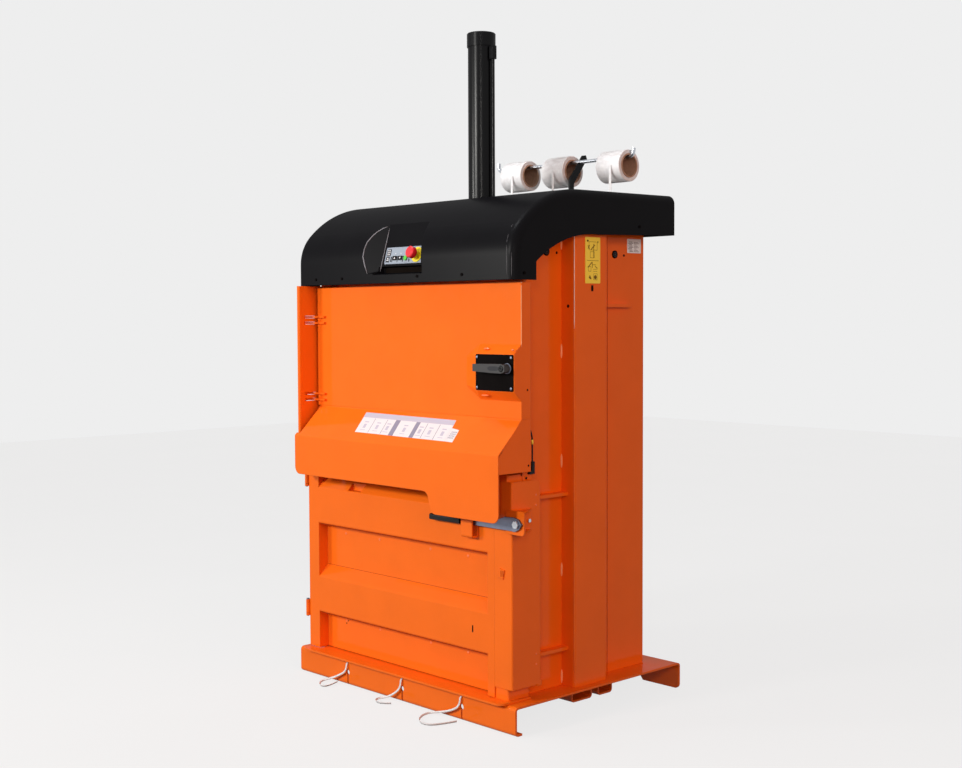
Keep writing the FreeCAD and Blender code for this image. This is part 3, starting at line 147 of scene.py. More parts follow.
# Plates, buttons and the plain fields on them.
panelGrey = finish("control plate grey", (0.3, 0.35, 0.42), 0.5, spread=0.02, specular=0.25)
yellow = finish("stop disc yellow", (0.9, 0.72, 0.01), 0.4, spread=0.02)
signYellow = finish("plate yellow", (1.0, 0.8, 0.09), 0.5, spread=0.02, specular=0.25)
signGrey = finish("plate grey", (0.86, 0.95, 1.0), 0.5, spread=0.03, specular=0.25)
red = finish("stop red", (0.8, 0.02, 0.03), 0.3, spread=0.04)
green = finish("start green", (0.09, 0.55, 0.05), 0.35, spread=0.04)
paleField = finish("pale field", (0.5, 0.5, 0.62), 0.5, spread=0.02, edge=0, specular=0.25)
whiteField = finish("white field", (0.74, 0.74, 0.78), 0.5, spread=0.02, edge=0, specular=0.25)
greyField = finish("grey field", (0.26, 0.26, 0.36), 0.5, spread=0.04, edge=0, specular=0.25)
darkField = finish("dark field", (0.012, 0.012, 0.016), 0.5, spread=0.04, edge=0, specular=0.2)
printGrey = finish("plate marks", (0.1, 0.1, 0.13), 0.5, spread=0.04, edge=0, specular=0.2)
ochreField = finish("ochre field", (0.17, 0.1, 0.008), 0.55, spread=0.04, edge=0, specular=0.2)

# Painted highlights along folds, edges and welds, painted shade along seams, creases and under ribs, and a
# near-black for small openings and for painted shade.
# Lighter orange painted on as highlight along the door's folded right edge and on the column welds.
foldHighlight = finish("worn fold", (0.95, 0.42, 0.2), 0.45, spread=0.1, patch=0.02, edge=0, specular=0.2)
# Near-white painted highlight along the column's front fold; the lit fold below is its fainter painted
# highlight lower down.
foldPaleHighlight = finish("bright fold", (0.95, 0.78, 0.7), 0.4, spread=0.06, patch=0.02, edge=0, specular=0.3)
foldFaint = finish("lit fold", (0.95, 0.22, 0.03), 0.5, spread=0.06, patch=0.03, edge=0, specular=0.1)
# Grey painted highlight along the hood's rounded front folds.
hoodFoldHighlight = finish("hood fold", (0.055, 0.053, 0.06), 0.45, spread=0.15, patch=0.03, edge=0,
                      specular=0.3)
# Pale grey painted highlight along the curved edge and the crease of the control recess in the hood.
hoodEdgeHighlight = finish("rubbed hood edge", (0.2, 0.195, 0.22), 0.45, spread=0.15, patch=0.03, edge=0,
                 specular=0.3)
# Dark red painted shade along seams and creases, beside the column's rear edge and under the ribs.
seamShade = finish("seam shade", (0.35, 0.04, 0.004), 0.7, spread=0.04, edge=0, specular=0.05)
# Near-black for small holes and slots, and for painted shade in the pocket under the control plate.
holeDarkAndShade = finish("dark hole", (0.004, 0.002, 0.001), 0.8, spread=0.04, edge=0, specular=0.05)

strapLook = {"low": (0.78, 0.79, 0.82), "high": (0.92, 0.94, 0.97), "cloud": 0.012, "waves": 0.314,
             "ripple": 0.0005, "roughness": 0.36, "sheen": 0.2}


# White polyester strap: fine parallel cords, pitch metres apart, with a silky sheen.
def strapMaterial(name, pitch, slant):
    made, graph, shader = tree(name)
    where = place(graph)
    turned = graph.nodes.new("ShaderNodeMapping")
    turned.inputs["Rotation"].default_value = (0, slant, 0)
    graph.links.new(where, turned.inputs["Vector"])
    wave = graph.nodes.new("ShaderNodeTexWave")
    wave.bands_direction = "X"
    wave.inputs["Scale"].default_value = strapLook["waves"] / pitch
    wave.inputs["Distortion"].default_value = 1.2
    wave.inputs["Detail"].default_value = 2.0
    wave.inputs["Detail Scale"].default_value = 0.6
    graph.links.new(turned.outputs["Vector"], wave.inputs["Vector"])
    cloudy = noise(graph, where, strapLook["cloud"])
    color = ramp(graph, cloudy, [(0.3, strapLook["low"]), (0.7, strapLook["high"])])
    graph.links.new(color, shader.inputs["Base Color"])
    graph.links.new(bump(graph, wave.outputs["Fac"], strapLook["ripple"], 0.6), shader.inputs["Normal"])
    shader.inputs["Roughness"].default_value = strapLook["roughness"]
    shader.inputs["Sheen Weight"].default_value = strapLook["sheen"]
    return made


strapWound = strapMaterial("wound strap", 0.0016, 0.12)
strapFlat = strapMaterial("flat strap", 0.0008, 0.0)

# The look of each solid.  All that isn't named here is painted orange.
nodeLooks = {
    "hood": hoodBlack, "hood_screws": plateBlack, "pump_motor": steelBlack, "oil_tank": steelBlack,
    "control_box": darkPlastic, "control_plate": panelGrey, "stop_disc": yellow, "stop_button": red,
    "start_button": green, "up_key": darkPlastic, "down_key": darkPlastic,
    "latch_plate": plateBlack, "latch_handle": greyPlastic, "lever_pin": zinc, "lock_lever": bareSteel,
    "lever_grip": darkPlastic, "door_sensor": darkPlastic, "hinge_pins": bareSteel,
    "hinge_fingers": thinOrange, "wall_plugs": plateBlack, "column_plate": signYellow,
    "wall_plate": signGrey, "cylinder_tube": steelBlack, "cylinder_cap": steelBlack,
    "oil_pipe": steelBlack, "piston_rod": chromed, "roll_rod": zinc, "roll_arm": steelBlack,
    "strap_tails": strapFlat, "roll_core_1": card, "roll_core_2": card, "roll_core_3": card,
}
for name, thing in nodes.items():
    look = nodeLooks.get(name, orange)
    if not thing.data.materials:
        thing.data.materials.append(look)
    for index in range(len(thing.data.materials)):
        thing.data.materials[index] = look
print("materials set on", len(nodes), "nodes")


def meshObject(name, mesh, body, look, smooth=True):
    thing = bpy.data.objects.new(name, mesh)
    bpy.context.scene.collection.objects.link(thing)
    mesh.materials.append(look)
    for face in mesh.polygons:
        face.use_smooth = smooth
    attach(thing, body)
    return thing


def fromBmesh(name, source, body, look, smooth=True):
    mesh = bpy.data.meshes.new(name)
    bmesh.ops.recalc_face_normals(source, faces=source.faces)
    source.to_mesh(mesh)
    source.free()
    return meshObject(name, mesh, body, look, smooth)


# Turns a closed profile of (along, radius) pairs about an axis through a centre.
def lathe(profile, centre, axis, steps, target=None):
    turned = target or bmesh.new()
    turn = axis.to_track_quat("Z", "Y").to_matrix()
    rings = []
    for k in range(steps):
        angle = 2 * math.pi * k / steps
        spoke = Vector((math.cos(angle), math.sin(angle), 0))
        rings.append([turned.verts.new(centre + turn @ (spoke * r + Vector((0, 0, a))))
                      for a, r in profile])
    count = len(profile)
    for k in range(steps):
        here, there = rings[k], rings[(k + 1) % steps]
        for i in range(count):
            j = (i + 1) % count
            turned.faces.new((here[i], here[j], there[j], there[i]))
    return turned


# The profile of a plain ring, in metres.
def ringProfile(inner, outer, height):
    return [(0.0, inner), (height, inner), (height, outer), (0.0, outer)]


# One piece from (profile, steps) pairs that are turned about the same axis.
def turnedPiece(name, parts, centre, axis, body, look, slotName):
    made = bmesh.new()
    for profile, steps in parts:
        lathe(profile, centre, Vector(axis), steps, made)
    return fromBmesh(name, made, body, look)


# Adds a thin plate, given its outline and the step from its low to its high face.
def slabInto(target, corners, lift):
    low = [target.verts.new(p) for p in corners]
    high = [target.verts.new(p + lift) for p in corners]
    target.faces.new(low)
    target.faces.new(high)
    count = len(corners)
    for k in range(count):
        n = (k + 1) % count
        target.faces.new((low[k], low[n], high[n], high[k]))


# Flat fields on a surface.  surface turns (u, v, out) in millimetres into a point.
def fields(name, surface, shapes, thickness, body, look, slotName, base=0.05):
    made = bmesh.new()
    for outline in shapes:
        low = [surface(u, v, base) for u, v in outline]
        lift = surface(0, 0, base + thickness) - surface(0, 0, base)
        slabInto(made, low, lift)
    return fromBmesh(name, made, body, look, smooth=False)


# An upright surface that faces right, with u along the machine's depth.
def rightFace(plane):
    def spot(u, v, out):
        return at(plane + out, u, v)
    return spot


# An upright surface that faces the front, with u along the machine's width.
def frontFace(plane):
    def spot(u, v, out):
        return at(u, plane - out, v)
    return spot


def rectangle(u0, v0, u1, v1):
    return [(u0, v0), (u1, v0), (u1, v1), (u0, v1)]


def disc(u, v, radius, steps=20):
    return [(u + radius * math.cos(2 * math.pi * k / steps), v + radius * math.sin(2 * math.pi * k / steps))
            for k in range(steps)]


def frameOf(u0, v0, u1, v1, line):
    return [rectangle(u0, v0, u1, v0 + line), rectangle(u0, v1 - line, u1, v1),
            rectangle(u0, v0 + line, u0 + line, v1 - line), rectangle(u1 - line, v0 + line, u1, v1 - line)]


# Round heads, such as screws and rivets, each on a point of the surface.
def domes(name, spots, axis, radius, height, body, look, slotName):
    made = bmesh.new()
    r, h = radius / 1000, height / 1000
    profile = [(-0.0002, hairGap), (h, hairGap), (h * 0.96, r * 0.35), (h * 0.75, r * 0.75), (h * 0.35, r),
               (-0.0002, r)]
    for spot in spots:
        lathe(profile, at(*spot), Vector(axis), 20, made)
    return fromBmesh(name, made, body, look)


# Dark discs, 0.15 mm thick, that stand for small drilled holes.
def holes(name, spots, axis, radius, body):
    made = bmesh.new()
    r = radius / 1000
    for spot in spots:
        lathe([(hairGap, hairGap), (0.0002, hairGap), (0.0002, r), (hairGap, r)], at(*spot), Vector(axis),
              20, made)
    return fromBmesh(name, made, body, holeDarkAndShade, smooth=False)


tubeSides = 8


def ringAt(target, middle, along, radius):
    turn = along.to_track_quat("Z", "Y").to_matrix()
    angles = [2 * math.pi * step / tubeSides for step in range(tubeSides)]
    return [target.verts.new(middle + turn @ (Vector((math.cos(a), math.sin(a), 0)) * radius))
            for a in angles]


# Joins rings of points into a tube with closed ends.
def tubeThrough(target, rings):
    for here, there in zip(rings, rings[1:]):
        for step in range(tubeSides):
            n = (step + 1) % tubeSides
            target.faces.new((here[step], here[n], there[n], there[step]))
    target.faces.new(rings[0])
    target.faces.new(rings[-1])


# Painted weld runs: rippled half-sunk beads between pairs of points.
def beads(name, runs, radius, body, look=weldOrange):
    made = bmesh.new()
    r = radius / 1000
    for start, end in runs:
        a, b = at(*start), at(*end)
        along = (b - a).normalized()
        length = (b - a).length
        count = max(6, int(length / (r * 0.45)))
        rings = []
        for k in range(count + 1):
            share = k / count
            swell = min(1.0, 4 * share, 4 * (1 - share)) ** 0.5
            ripple = 0.82 + 0.18 * abs(math.sin(k * 1.15 + a.x * 900))
            rings.append(ringAt(made, a + along * (length * share), along, max(r * swell * ripple, hairGap)))
        tubeThrough(made, rings)
    return fromBmesh(name, made, body, look)


# Thin rounded lines along moulded or folded edges, given as runs of points; they carry painted highlights and
# painted shade.
def lips(name, runs, radius, body, look, slotName):
    made = bmesh.new()
    r = radius / 1000
    for run in runs:
        spots = [at(*p) for p in run]
        last = len(spots) - 1
        rings = []
        for k, spot in enumerate(spots):
            along = (spots[min(k + 1, last)] - spots[max(k - 1, 0)]).normalized()
            rings.append(ringAt(made, spot, along, r * (0.3 if k in (0, last) else 1.0)))
        tubeThrough(made, rings)
    return fromBmesh(name, made, body, look)


# Middles and sizes of the wound rolls in millimetres, and the details of their turns in metres.
rolls = {"xs": (-177.0, 13.0, 250.0), "y": 690.0, "z": 1600.0, "radius": 50.0, "half": 48.0,
         "core": 37.0, "ridges": 28, "rowsPerRidge": 4, "ridge": 0.00022, "crown": 0.0006,
         "shoulder": 0.0015, "skin": 0.0009, "rim": 0.003, "inset": 0.0002, "layers": 10,
         "layerStep": 0.00035, "coreGap": 0.0003, "steps": 128}


# A wound roll: slightly barrelled, ridged by its turns, with layered flat ends.
def strapRoll(number, x):
    half = rolls["half"] / 1000
    outer = rolls["radius"] / 1000
    inner = rolls["core"] / 1000
    rim, inset, gap = rolls["rim"], rolls["inset"], rolls["coreGap"]
    rows = rolls["ridges"] * rolls["rowsPerRidge"]
    profile = [(-half + inset, outer - rim)]
    for k in range(rows + 1):
        share = k / rows
        along = -half + rolls["shoulder"] + share * 2 * (half - rolls["shoulder"])
        crown = rolls["crown"] * (1 - (2 * share - 1) ** 2)
        ridge = rolls["ridge"] * math.sin(share * rolls["ridges"] * 2 * math.pi)
        profile.append((along, outer - rolls["skin"] + crown + ridge))
    profile.append((half - inset, outer - rim))
    for side in (1, -1):
        face = []
        for k in range(1, rolls["layers"] + 1):
            share = k / (rolls["layers"] + 1)
            radius = outer - rim - share * (outer - rim - inner - gap)
            face.append((side * (half - inset - rolls["layerStep"] * (k % 2)), radius))
        face.append((side * (half - 2 * inset), inner + gap))
        profile.extend(face if side > 0 else list(reversed(face)))
    turned = lathe(profile, at(x, rolls["y"], rolls["z"]), Vector(toRight), rolls["steps"])
    roll = fromBmesh("wound_strap_%d" % number, turned, "roll_%d" % number, strapWound)
    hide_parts("strap_roll_%d" % number)


for number, x in enumerate(rolls["xs"], 1):
    strapRoll(number, x)
print("strap rolls done")

# Routes are (step from x, y, z) in millimetres.  The section and the lengths are in metres.
strapEnds = {"xs": (-245.0, 15.0, 275.0), "width": 0.006, "thickness": 0.0012, "routes": (
    ((0, 16, 75), (0, -5, 75), (-1, -7, 44), (-32, -10, 27), (-66, -13, 12), (-86, -34, 5), (-64, -62, 5),
     (-36, -78, 5), (-18, -60, 5), (-40, -10, 5)),
    ((0, 16, 75), (0, -5, 75), (0, -7, 44), (-22, -10, 24), (-50, -16, 8), (-70, -36, 5), (-52, -62, 5),
     (-20, -64, 5), (2, -44, 6)),
    ((0, 16, 75), (0, -5, 75), (-2, -7, 42), (-34, -10, 24), (-78, -12, 11), (-112, -22, 5), (-104, -62, 5),
     (-66, -104, 5), (-24, -106, 5), (-4, -70, 5), (6, -24, 5)),
), "lengths": (0.284, 0.223, 0.381)}


def flatProfile(width, thickness):
    curve = bpy.data.curves.new("strap section", "CURVE")
    curve.dimensions = "2D"
    line = curve.splines.new("POLY")
    corners = [(-0.5, -0.5), (0.5, -0.5), (0.5, 0.5), (-0.5, 0.5)]
    line.points.add(len(corners) - 1)
    for point, (a, b) in zip(line.points, corners):
        point.co = (a * width, b * thickness, 0, 1)
    line.use_cyclic_u = True
    return bpy.data.objects.new("strap_section", curve)


# A loose end of flat strap: out of its notch in the base's top edge, down in front of the
# keyhole, which it doesn't go through, and over the floor.
def looseStrap(number, x, route, section):
    points = [at(x + dx, y, z) for dx, y, z in route]
    curve = bpy.data.curves.new("strap end %d" % number, "CURVE")
    curve.dimensions = "3D"
    curve.resolution_u = 16
    curve.bevel_mode = "OBJECT"
    curve.bevel_object = section
    line = curve.splines.new("NURBS")
    line.points.add(len(points) - 1)
    for point, spot in zip(line.points, points):
        point.co = (*spot, 1)
    line.order_u = 3
    line.use_endpoint_u = True
    strap = bpy.data.objects.new("loose_strap_%d" % number, curve)
    bpy.context.scene.collection.objects.link(strap)
    curve.materials.append(strapFlat)
    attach(strap, "frame")
    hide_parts("strap_end_%d" % number)


strapSection = flatProfile(strapEnds["width"], strapEnds["thickness"])
for number, (x, route, length) in enumerate(zip(strapEnds["xs"], strapEnds["routes"],
                                                strapEnds["lengths"]), 1):
    looseStrap(number, x, route, strapSection)
print("strap ends done")

# The sloping control plate: where its lower edge lies, and what stands on it in (u, v) millimetres.
# startRing is the inner and outer radius and the height, in metres.
panel = {
    "y": 20.5, "z": 1272.0, "tilt": math.radians(15), "sheet": 2.0, "keyTop": 4.4, "keys": (-47.0, -23.0),
    "keyMiddle": (9, 37), "lampHeight": 51, "lampRadius": 1.6, "start": (14, 35),
    "startRing": (0.0072, 0.0088, 0.0014), "border": (-82, 21.5, 82, 68.5), "borderLine": 0.6,
    "squares": ((-79, 44, -60, 65), (-79, 25, -63, 42), (-58, 26, -53, 42), (-51, 24.5, -48.5, 43.5),
                (-27, 24.5, -24.5, 43.5), (-3, 25, 1, 43), (25, 24.5, 30, 33)),
    "dots": {"corner": (-76, 47), "pitch": (4.6, 6), "size": (2.5, 4), "side": 3},
    "marks": [[(-76.5, 30), (-65.5, 30), (-65.5, 32), (-76.5, 32)], [(-76, 34), (-66, 34), (-71, 40)]],
}


def onPanel(u, v, out):
    slope, lean = math.sin(panel["tilt"]), math.cos(panel["tilt"])
    return at(u, panel["y"] + v * slope - (out + panel["sheet"]) * lean,
              panel["z"] + v * lean + (out + panel["sheet"]) * slope)


def onKey(u, v, out):
    return onPanel(u, v, out + panel["keyTop"] - panel["sheet"])


# Rows of small equal rectangles, side to a row.
def dotGrid(corner, pitch, size, side, rows):
    cells = [(corner[0] + pitch[0] * (k % side), corner[1] + pitch[1] * (k // side))
             for k in range(side * rows)]
    return [rectangle(u, v, u + size[0], v + size[1]) for u, v in cells]


# Pictogram squares with their marks, two lamps, a thin rim, an arrow on each key and the start ring.
def controlGraphics():
    squares = [rectangle(*corners) for corners in panel["squares"]]
    fields("panel_squares", onPanel, squares, 0.2, "frame", darkField, "black_plastic")
    marks = panel["marks"] + dotGrid(**panel["dots"], rows=3)
    fields("panel_marks", onPanel, marks, 0.35, "frame", whiteField, "sign_grey", base=0.1)
    across, middle = panel["keyMiddle"]
    lamps = [disc(keyX + across, panel["lampHeight"], panel["lampRadius"]) for keyX in panel["keys"]]
    fields("panel_lamps", onPanel, lamps, 0.6, "frame", whiteField, "sign_grey")
    border = frameOf(*panel["border"], panel["borderLine"])
    fields("panel_border", onPanel, border, 0.12, "frame", greyField, "panel_grey")
    for number, (keyX, sign, body) in enumerate(zip(panel["keys"], (1, -1), ("up_head", "down_head")), 1):
        u = keyX + across
        arrow = [(u - 4, middle - 2.5 * sign), (u + 4, middle - 2.5 * sign), (u, middle + 3 * sign)]
        fields("key_arrow_%d" % number, onKey, [arrow], 0.12, body, whiteField, "sign_grey")
    outward = (onPanel(0, 0, 1) - onPanel(0, 0, 0)).normalized()
    turnedPiece("start_ring", [(ringProfile(*panel["startRing"]), 40)], onPanel(*panel["start"], 0), outward,
                "frame", zinc, "zinc_steel")


controlGraphics()

# The pale field on the chute's slope.  slant and fall shear it into the line of the photograph.
chute = {
    "y": 34.44, "z": 855.06, "left": -177.0, "right": 231.0, "slant": 0.16, "fall": 0.0098,
    "sheet": (12, 90), "band": (12, 31), "wideBars": ((-21, 0), (72, 90)), "thinBars": (-118, -60, 122, 176),
    "shapes": (-148, -90, -42, 36, 105, 148, 204), "tag": [(236, 45), (271, 50), (277, 95), (243, 94)],
    "grid": {"corner": (247, 57), "pitch": (6, 7), "size": (3.5, 4), "side": 4},
}


def onSlope(u, v, out):
    step = math.sqrt(0.5)
    return at(u, chute["y"] - (v + out) * step, chute["z"] + (out - v) * step)


def chuteFields():
    left, right = chute["left"], chute["right"]

    def across(u0, u1, v0, v1):
        return [(u + chute["slant"] * v, v + chute["fall"] * (u - left))
                for u, v in rectangle(u0, v0, u1, v1)]

    def lay(name, shapes, thickness, look, base=0.05):
        fields(name, onSlope, shapes, thickness, "loading_door", look, "sign_grey", base)

    lay("chute_sheet", [across(left, right, *chute["sheet"])], 0.15, whiteField)
    lay("chute_band", [across(left, right, *chute["band"])], 0.12, paleField, 0.2)
    bars = [across(u0, u1, 31, 90) for u0, u1 in chute["wideBars"]]
    bars += [across(u, u + 2, 33, 88) for u in chute["thinBars"]]
    lay("chute_bars", bars, 0.12, greyField, 0.2)
    blobs = []
    for middle in chute["shapes"]:
        for reach, v0, v1 in ((9, 46, 50), (6, 56, 72), (11, 78, 80)):
            blobs.append(across(middle - reach, middle + reach, v0, v1))
    lay("chute_shapes", blobs, 0.12, paleField, 0.2)
    lay("chute_tag", [chute["tag"]], 0.15, whiteField)
    lay("chute_tag_grid", dotGrid(**chute["grid"], rows=4), 0.12, greyField, 0.2)


chuteFields()

# The yellow plate on the column and the grey one on the wall: plain shapes in (depth, height).
plates = {
    "columnPlane": 465.5, "wallPlane": 415.5, "barRows": 8, "barPitch": 4,
    "rivets": [(465.5, 316, 1348), (465.5, 357, 1346)],
    "yellowShapes": [
        *frameOf(321, 1322, 356, 1346, 1.0), *frameOf(326, 1300, 344, 1318, 1.0),
        rectangle(313, 1292, 362, 1293.2), rectangle(338, 1262, 356, 1263), rectangle(338, 1268, 356, 1269),
        *frameOf(318, 1262, 330, 1276, 1.0),
        [(318, 1240), (332, 1240), (325, 1252)], disc(348, 1246, 6, 12),
        [(316, 1326), (318, 1325), (325, 1335), (323, 1336)],
        [(323, 1325), (325, 1326), (318, 1336), (316, 1335)],
        [(330, 1322), (347, 1336), (345, 1338), (328, 1324)], rectangle(340, 1300, 342, 1340),
        [(316, 1274), (318, 1272), (336, 1288), (334, 1290)], rectangle(336, 1280, 350, 1281.5),
        rectangle(334, 1272, 336, 1287), [(346, 1276), (356, 1270), (357, 1272), (347, 1278)],
        *frameOf(340, 1238, 356, 1256, 1.0),
    ],
}


def sidePlates():
    fields("yellow_plate_shapes", rightFace(plates["columnPlane"]), plates["yellowShapes"], 0.12, "frame",
           ochreField, "sign_yellow")
    rows = [(k, 1326 + plates["barPitch"] * k) for k in range(plates["barRows"])]
    bars = [rectangle(549 + 3 * (k % 2), v, 570 - 2 * (k % 3), v + 1.8) for k, v in rows]
    bars += [rectangle(573 + (k % 3), v, 597 - 5 * (k % 3), v + 1.4) for k, v in rows]
    fields("grey_plate_bars", rightFace(plates["wallPlane"]), bars, 0.12, "frame", printGrey, "sign_grey")
    domes("yellow_plate_rivets", plates["rivets"], toRight, 3, 1.4, "frame", plateBlack, "black_steel")


sidePlates()

# Slots, seams, small raised marks and painted shade: surface, outlines, thickness, body, look and slot.
tabRibs = [rectangle(424 + 4.4 * k, 428 + 0.5 * k, 426 + 4.4 * k, 445 - 0.5 * k) for k in range(3)]
marks = {
    "column_slot": (rightFace(464), [rectangle(332, 1206, 341, 1223)], 0.15, "frame", holeDarkAndShade, "black_steel"),
    "rib_slot": (frontFace(13), [rectangle(305.5, 255, 310.5, 275)], 0.15, "bale_door", holeDarkAndShade,
                 "black_steel"),
    "rib_seam": (frontFace(47.5), [rectangle(-403, 351.5, 368, 352.7)], 0.3, "bale_door", seamShade,
                 "orange_sheet"),
    "tab_ribs": (frontFace(10), tabRibs, 0.2, "bale_door", seamShade, "orange_sheet"),
    # A near-black field of painted shade on the face under the control plate.
    "pocket_shade": (frontFace(38), [rectangle(-92, 1265.5, 78, 1281)], 0.3, "frame", holeDarkAndShade, "black_hood"),
    "cover_tab": (frontFace(13), [[(414, 425), (432, 421), (438, 446), (420, 450)]], 3.0, "bale_door", orange,
                  "orange_sheet"),
}
for name, row in marks.items():
    fields(name, *row)
print("fields done")

# Points in millimetres and turned profiles in metres of the fastenings.
plateCorners = [(x, 3, z) for x in (340, 473) for z in (942, 1025)]
recessCorners = [(x, 47.5, z) for z in (459, 183) for x in (-310, -143, 92, 253)]
coverRow = [(465, 105.5, z) for z in (647, 619, 206, 178)]
plugParts = [([(0.0, 0.0055), (0.0008, 0.0062), (0.0008, 0.0075), (0.0, 0.0082)], 32),
             ([(0.0, hairGap), (0.0009, hairGap), (0.0005, 0.0032), (0.0, 0.0036)], 24)]
leadRing, latchRing = ringProfile(0.0024, 0.0031, 0.013), ringProfile(0.0125, 0.0142, 0.0035)
latchCap = [(0.0, hairGap), (0.0012, hairGap), (0.0012, 0.0085), (0.0, 0.0092)]
handleOval = [(432 + 13 * math.cos(a) + (9 if math.cos(a) > 0 else -9), 996 + 6 * math.sin(a))
              for a in [2 * math.pi * k / 32 for k in range(32)]]
# Heads, rings, plugs and small holes where the photograph shows them: how each is made, and of what.
details = {
    "latch_plate_screws": (domes, plateCorners, toFront, 4.2, 1.6, "loading_door", bareSteel, "zinc_steel"),
    "sensor_screws": (domes, [(452, 81.5, 694)], toRight, 3.2, 1.6, "frame", plateBlack, "black_steel"),
    "post_holes": (holes, [(446, 68, 703)], toRight, 2.2, "frame"),
    "column_hole": (holes, [(440, 262, 1164)], toFront, 4.6, "frame"),
    "wall_holes": (holes, [(414, 243, 1314), (414, 531, 1314)], toRight, 4.0, "frame"),
    "door_hole": (holes, [(482, 57, 937), (482, 60, 732)], toRight, 3.0, "loading_door"),
    "recess_tacks": (domes, recessCorners, toFront, 4.5, 1.0, "bale_door", weldOrange, "orange_sheet"),
    "bracket_bolt": (domes, [(473.5, 73, 580)], toRight, 5.4, 2.4, "bale_door", zinc, "zinc_steel"),
    "recess_holes": (holes, [(-301, 47.5, 184), (-310, 47.5, 175)], toFront, 2.0, "bale_door"),
    "plug_ring_1": (turnedPiece, plugParts, at(416.5, 200, 1316), toRight, "frame", greyPlastic,
                    "black_plastic"),
    "plug_ring_2": (turnedPiece, plugParts, at(416.5, 489, 1316), toRight, "frame", greyPlastic,
                    "black_plastic"),
    "lead_band": (turnedPiece, [(leadRing, 24)], at(454, 103, 785), upward, "frame", signYellow,
                  "stop_yellow"),
    "cover_dots": (domes, coverRow, toRight, 3, 1.2, "bale_door", weldOrange, "orange_sheet"),
    "latch_ring": (turnedPiece, [(latchRing, 48)], at(462, 1.5, 996), toFront, "loading_door", bareSteel,
                   "zinc_steel"),
    "latch_cap": (turnedPiece, [(latchCap, 40)], at(462, -24, 996), toFront, "door_latch", darkPlastic,
                  "zinc_steel"),
    "handle_slot": (fields, frontFace(-24), [handleOval], 0.15, "door_latch", darkField, "black_plastic"),
}
for name, (shape, *row) in details.items():
    shape(name, *row)

welds = {"padRadius": 3.0, "pads": [((355, 15, 1048), (378, 15, 1048)), ((470, 8, 1046), (481, 8, 1046)),
                                    ((345, 15, 920), (375, 15, 920))],
         "columnRadius": 3.4, "columnX": 414.5, "columnY": 261.5, "columnHalf": 20,
         "columnZs": (1343, 1037, 725, 414, 105)}
beads("pad_welds", welds["pads"], welds["padRadius"], "loading_door")
# The column welds are real beads, coloured in the lighter orange of the painted fold highlight.
beads("column_welds", [tuple((welds["columnX"], welds["columnY"], z + side * welds["columnHalf"])
                             for side in (-1, 1)) for z in welds["columnZs"]],
      welds["columnRadius"], "frame", foldHighlight)


def upright(x, y, heights):
    return [(x, y, z) for z in heights]


# Edge lines of painted highlight and painted shade: runs of points, radius, body, look and slot.
edges = {
    # Painted highlight lines along the recess's curved edge and along its crease.
    "recess_lips": ([[(-133.5, 0, 1263), (-146, 0, 1290), (-156.2, 1.8, 1316), (-155.6, 7.7, 1339),
                      (-151, 14.9, 1359), (-140.1, 24.7, 1376), (-128.9, 36, 1389.5), (-111.8, 47, 1400),
                      (-96, 55.5, 1406.5)]], 1.8, "frame", hoodEdgeHighlight, "black_hood"),
    "recess_crease": ([[(-93.4, 55, 1400), (-94.1, 48.9, 1378), (-95, 40.8, 1348), (-95.9, 32.8, 1318),
                        (-97.2, 24, 1285), (-97.6, 20, 1270)]], 1.3, "frame", hoodEdgeHighlight, "black_hood"),
    # Painted highlight lines along the hood's rounded front-right folds.
    "hood_folds": ([[(460.4, 0.5, 1241), (460.4, 0.5, 1262), (460.4, 0.5, 1290), (459.4, 1.6, 1316),
                     (457, 6, 1336), (455.5, 11, 1351), (454.6, 27, 1378.6), (451, 57.4, 1409.6)],
                    upright(475.5, 4.2, (1241, 1250, 1270, 1290, 1306))], 1.1, "frame", hoodFoldHighlight,
                   "black_hood"),
    # Painted highlight along the column's front fold, near-white above and fainter lower down.
    "column_fold": ([upright(463.4, 262.6, (1392, 1380, 1320, 1250, 1180, 1120, 1100))], 1.2, "frame",
                    foldPaleHighlight, "orange_sheet"),
    "column_fold_low": ([upright(463.4, 262.6, (1098, 1080, 1000, 800, 600, 400, 200, 95))], 1.1, "frame",
                        foldFaint, "orange_sheet"),
    # A painted shade line along the column's rear edge.
    "column_seam": ([upright(463.6, 401.6, (1392, 1300, 1000, 700, 400, 100, 92))], 0.7, "frame",
                    seamShade, "orange_sheet"),
    # Painted shadow lines under the lower edges of the ribs.
    "rib_shade": ([[(x, 13.8, z) for x in (-402, -390, -200, 0, 200, 360, 366)] for z in (484.8, 202.8)],
                  1.1, "bale_door", seamShade, "orange_sheet"),
    # A painted highlight line along the door's folded right edge.
    "door_fold": ([upright(481.4, 34.6, (1049, 1056, 1090, 1130, 1170, 1215, 1224))], 1.0, "loading_door",
                  foldHighlight, "orange_sheet"),
}
for name, row in edges.items():
    lips(name, *row)
print("fastenings done")


# Camera, glossy and transmission rays together: whatever shows the pale backdrop.
def backdropRays(graph):
    path = graph.nodes.new("ShaderNodeLightPath")
    seen = path.outputs["Is Camera Ray"]
    for ray in ("Is Glossy Ray", "Is Transmission Ray"):
        either = graph.nodes.new("ShaderNodeMath")
        either.operation = "MAXIMUM"
        graph.links.new(seen, either.inputs[0])
        graph.links.new(path.outputs[ray], either.inputs[1])
        seen = either.outputs[0]
    return seen


# Half width in metres, the drift of the grey and its patch size, and the glow that lifts it to the backdrop.
floorSettings = {"half": 9, "dark": 0.1, "light": 0.11, "patch": 0.8, "roughness": 0.9, "specular": 0.1,
                 "glow": 0.77}


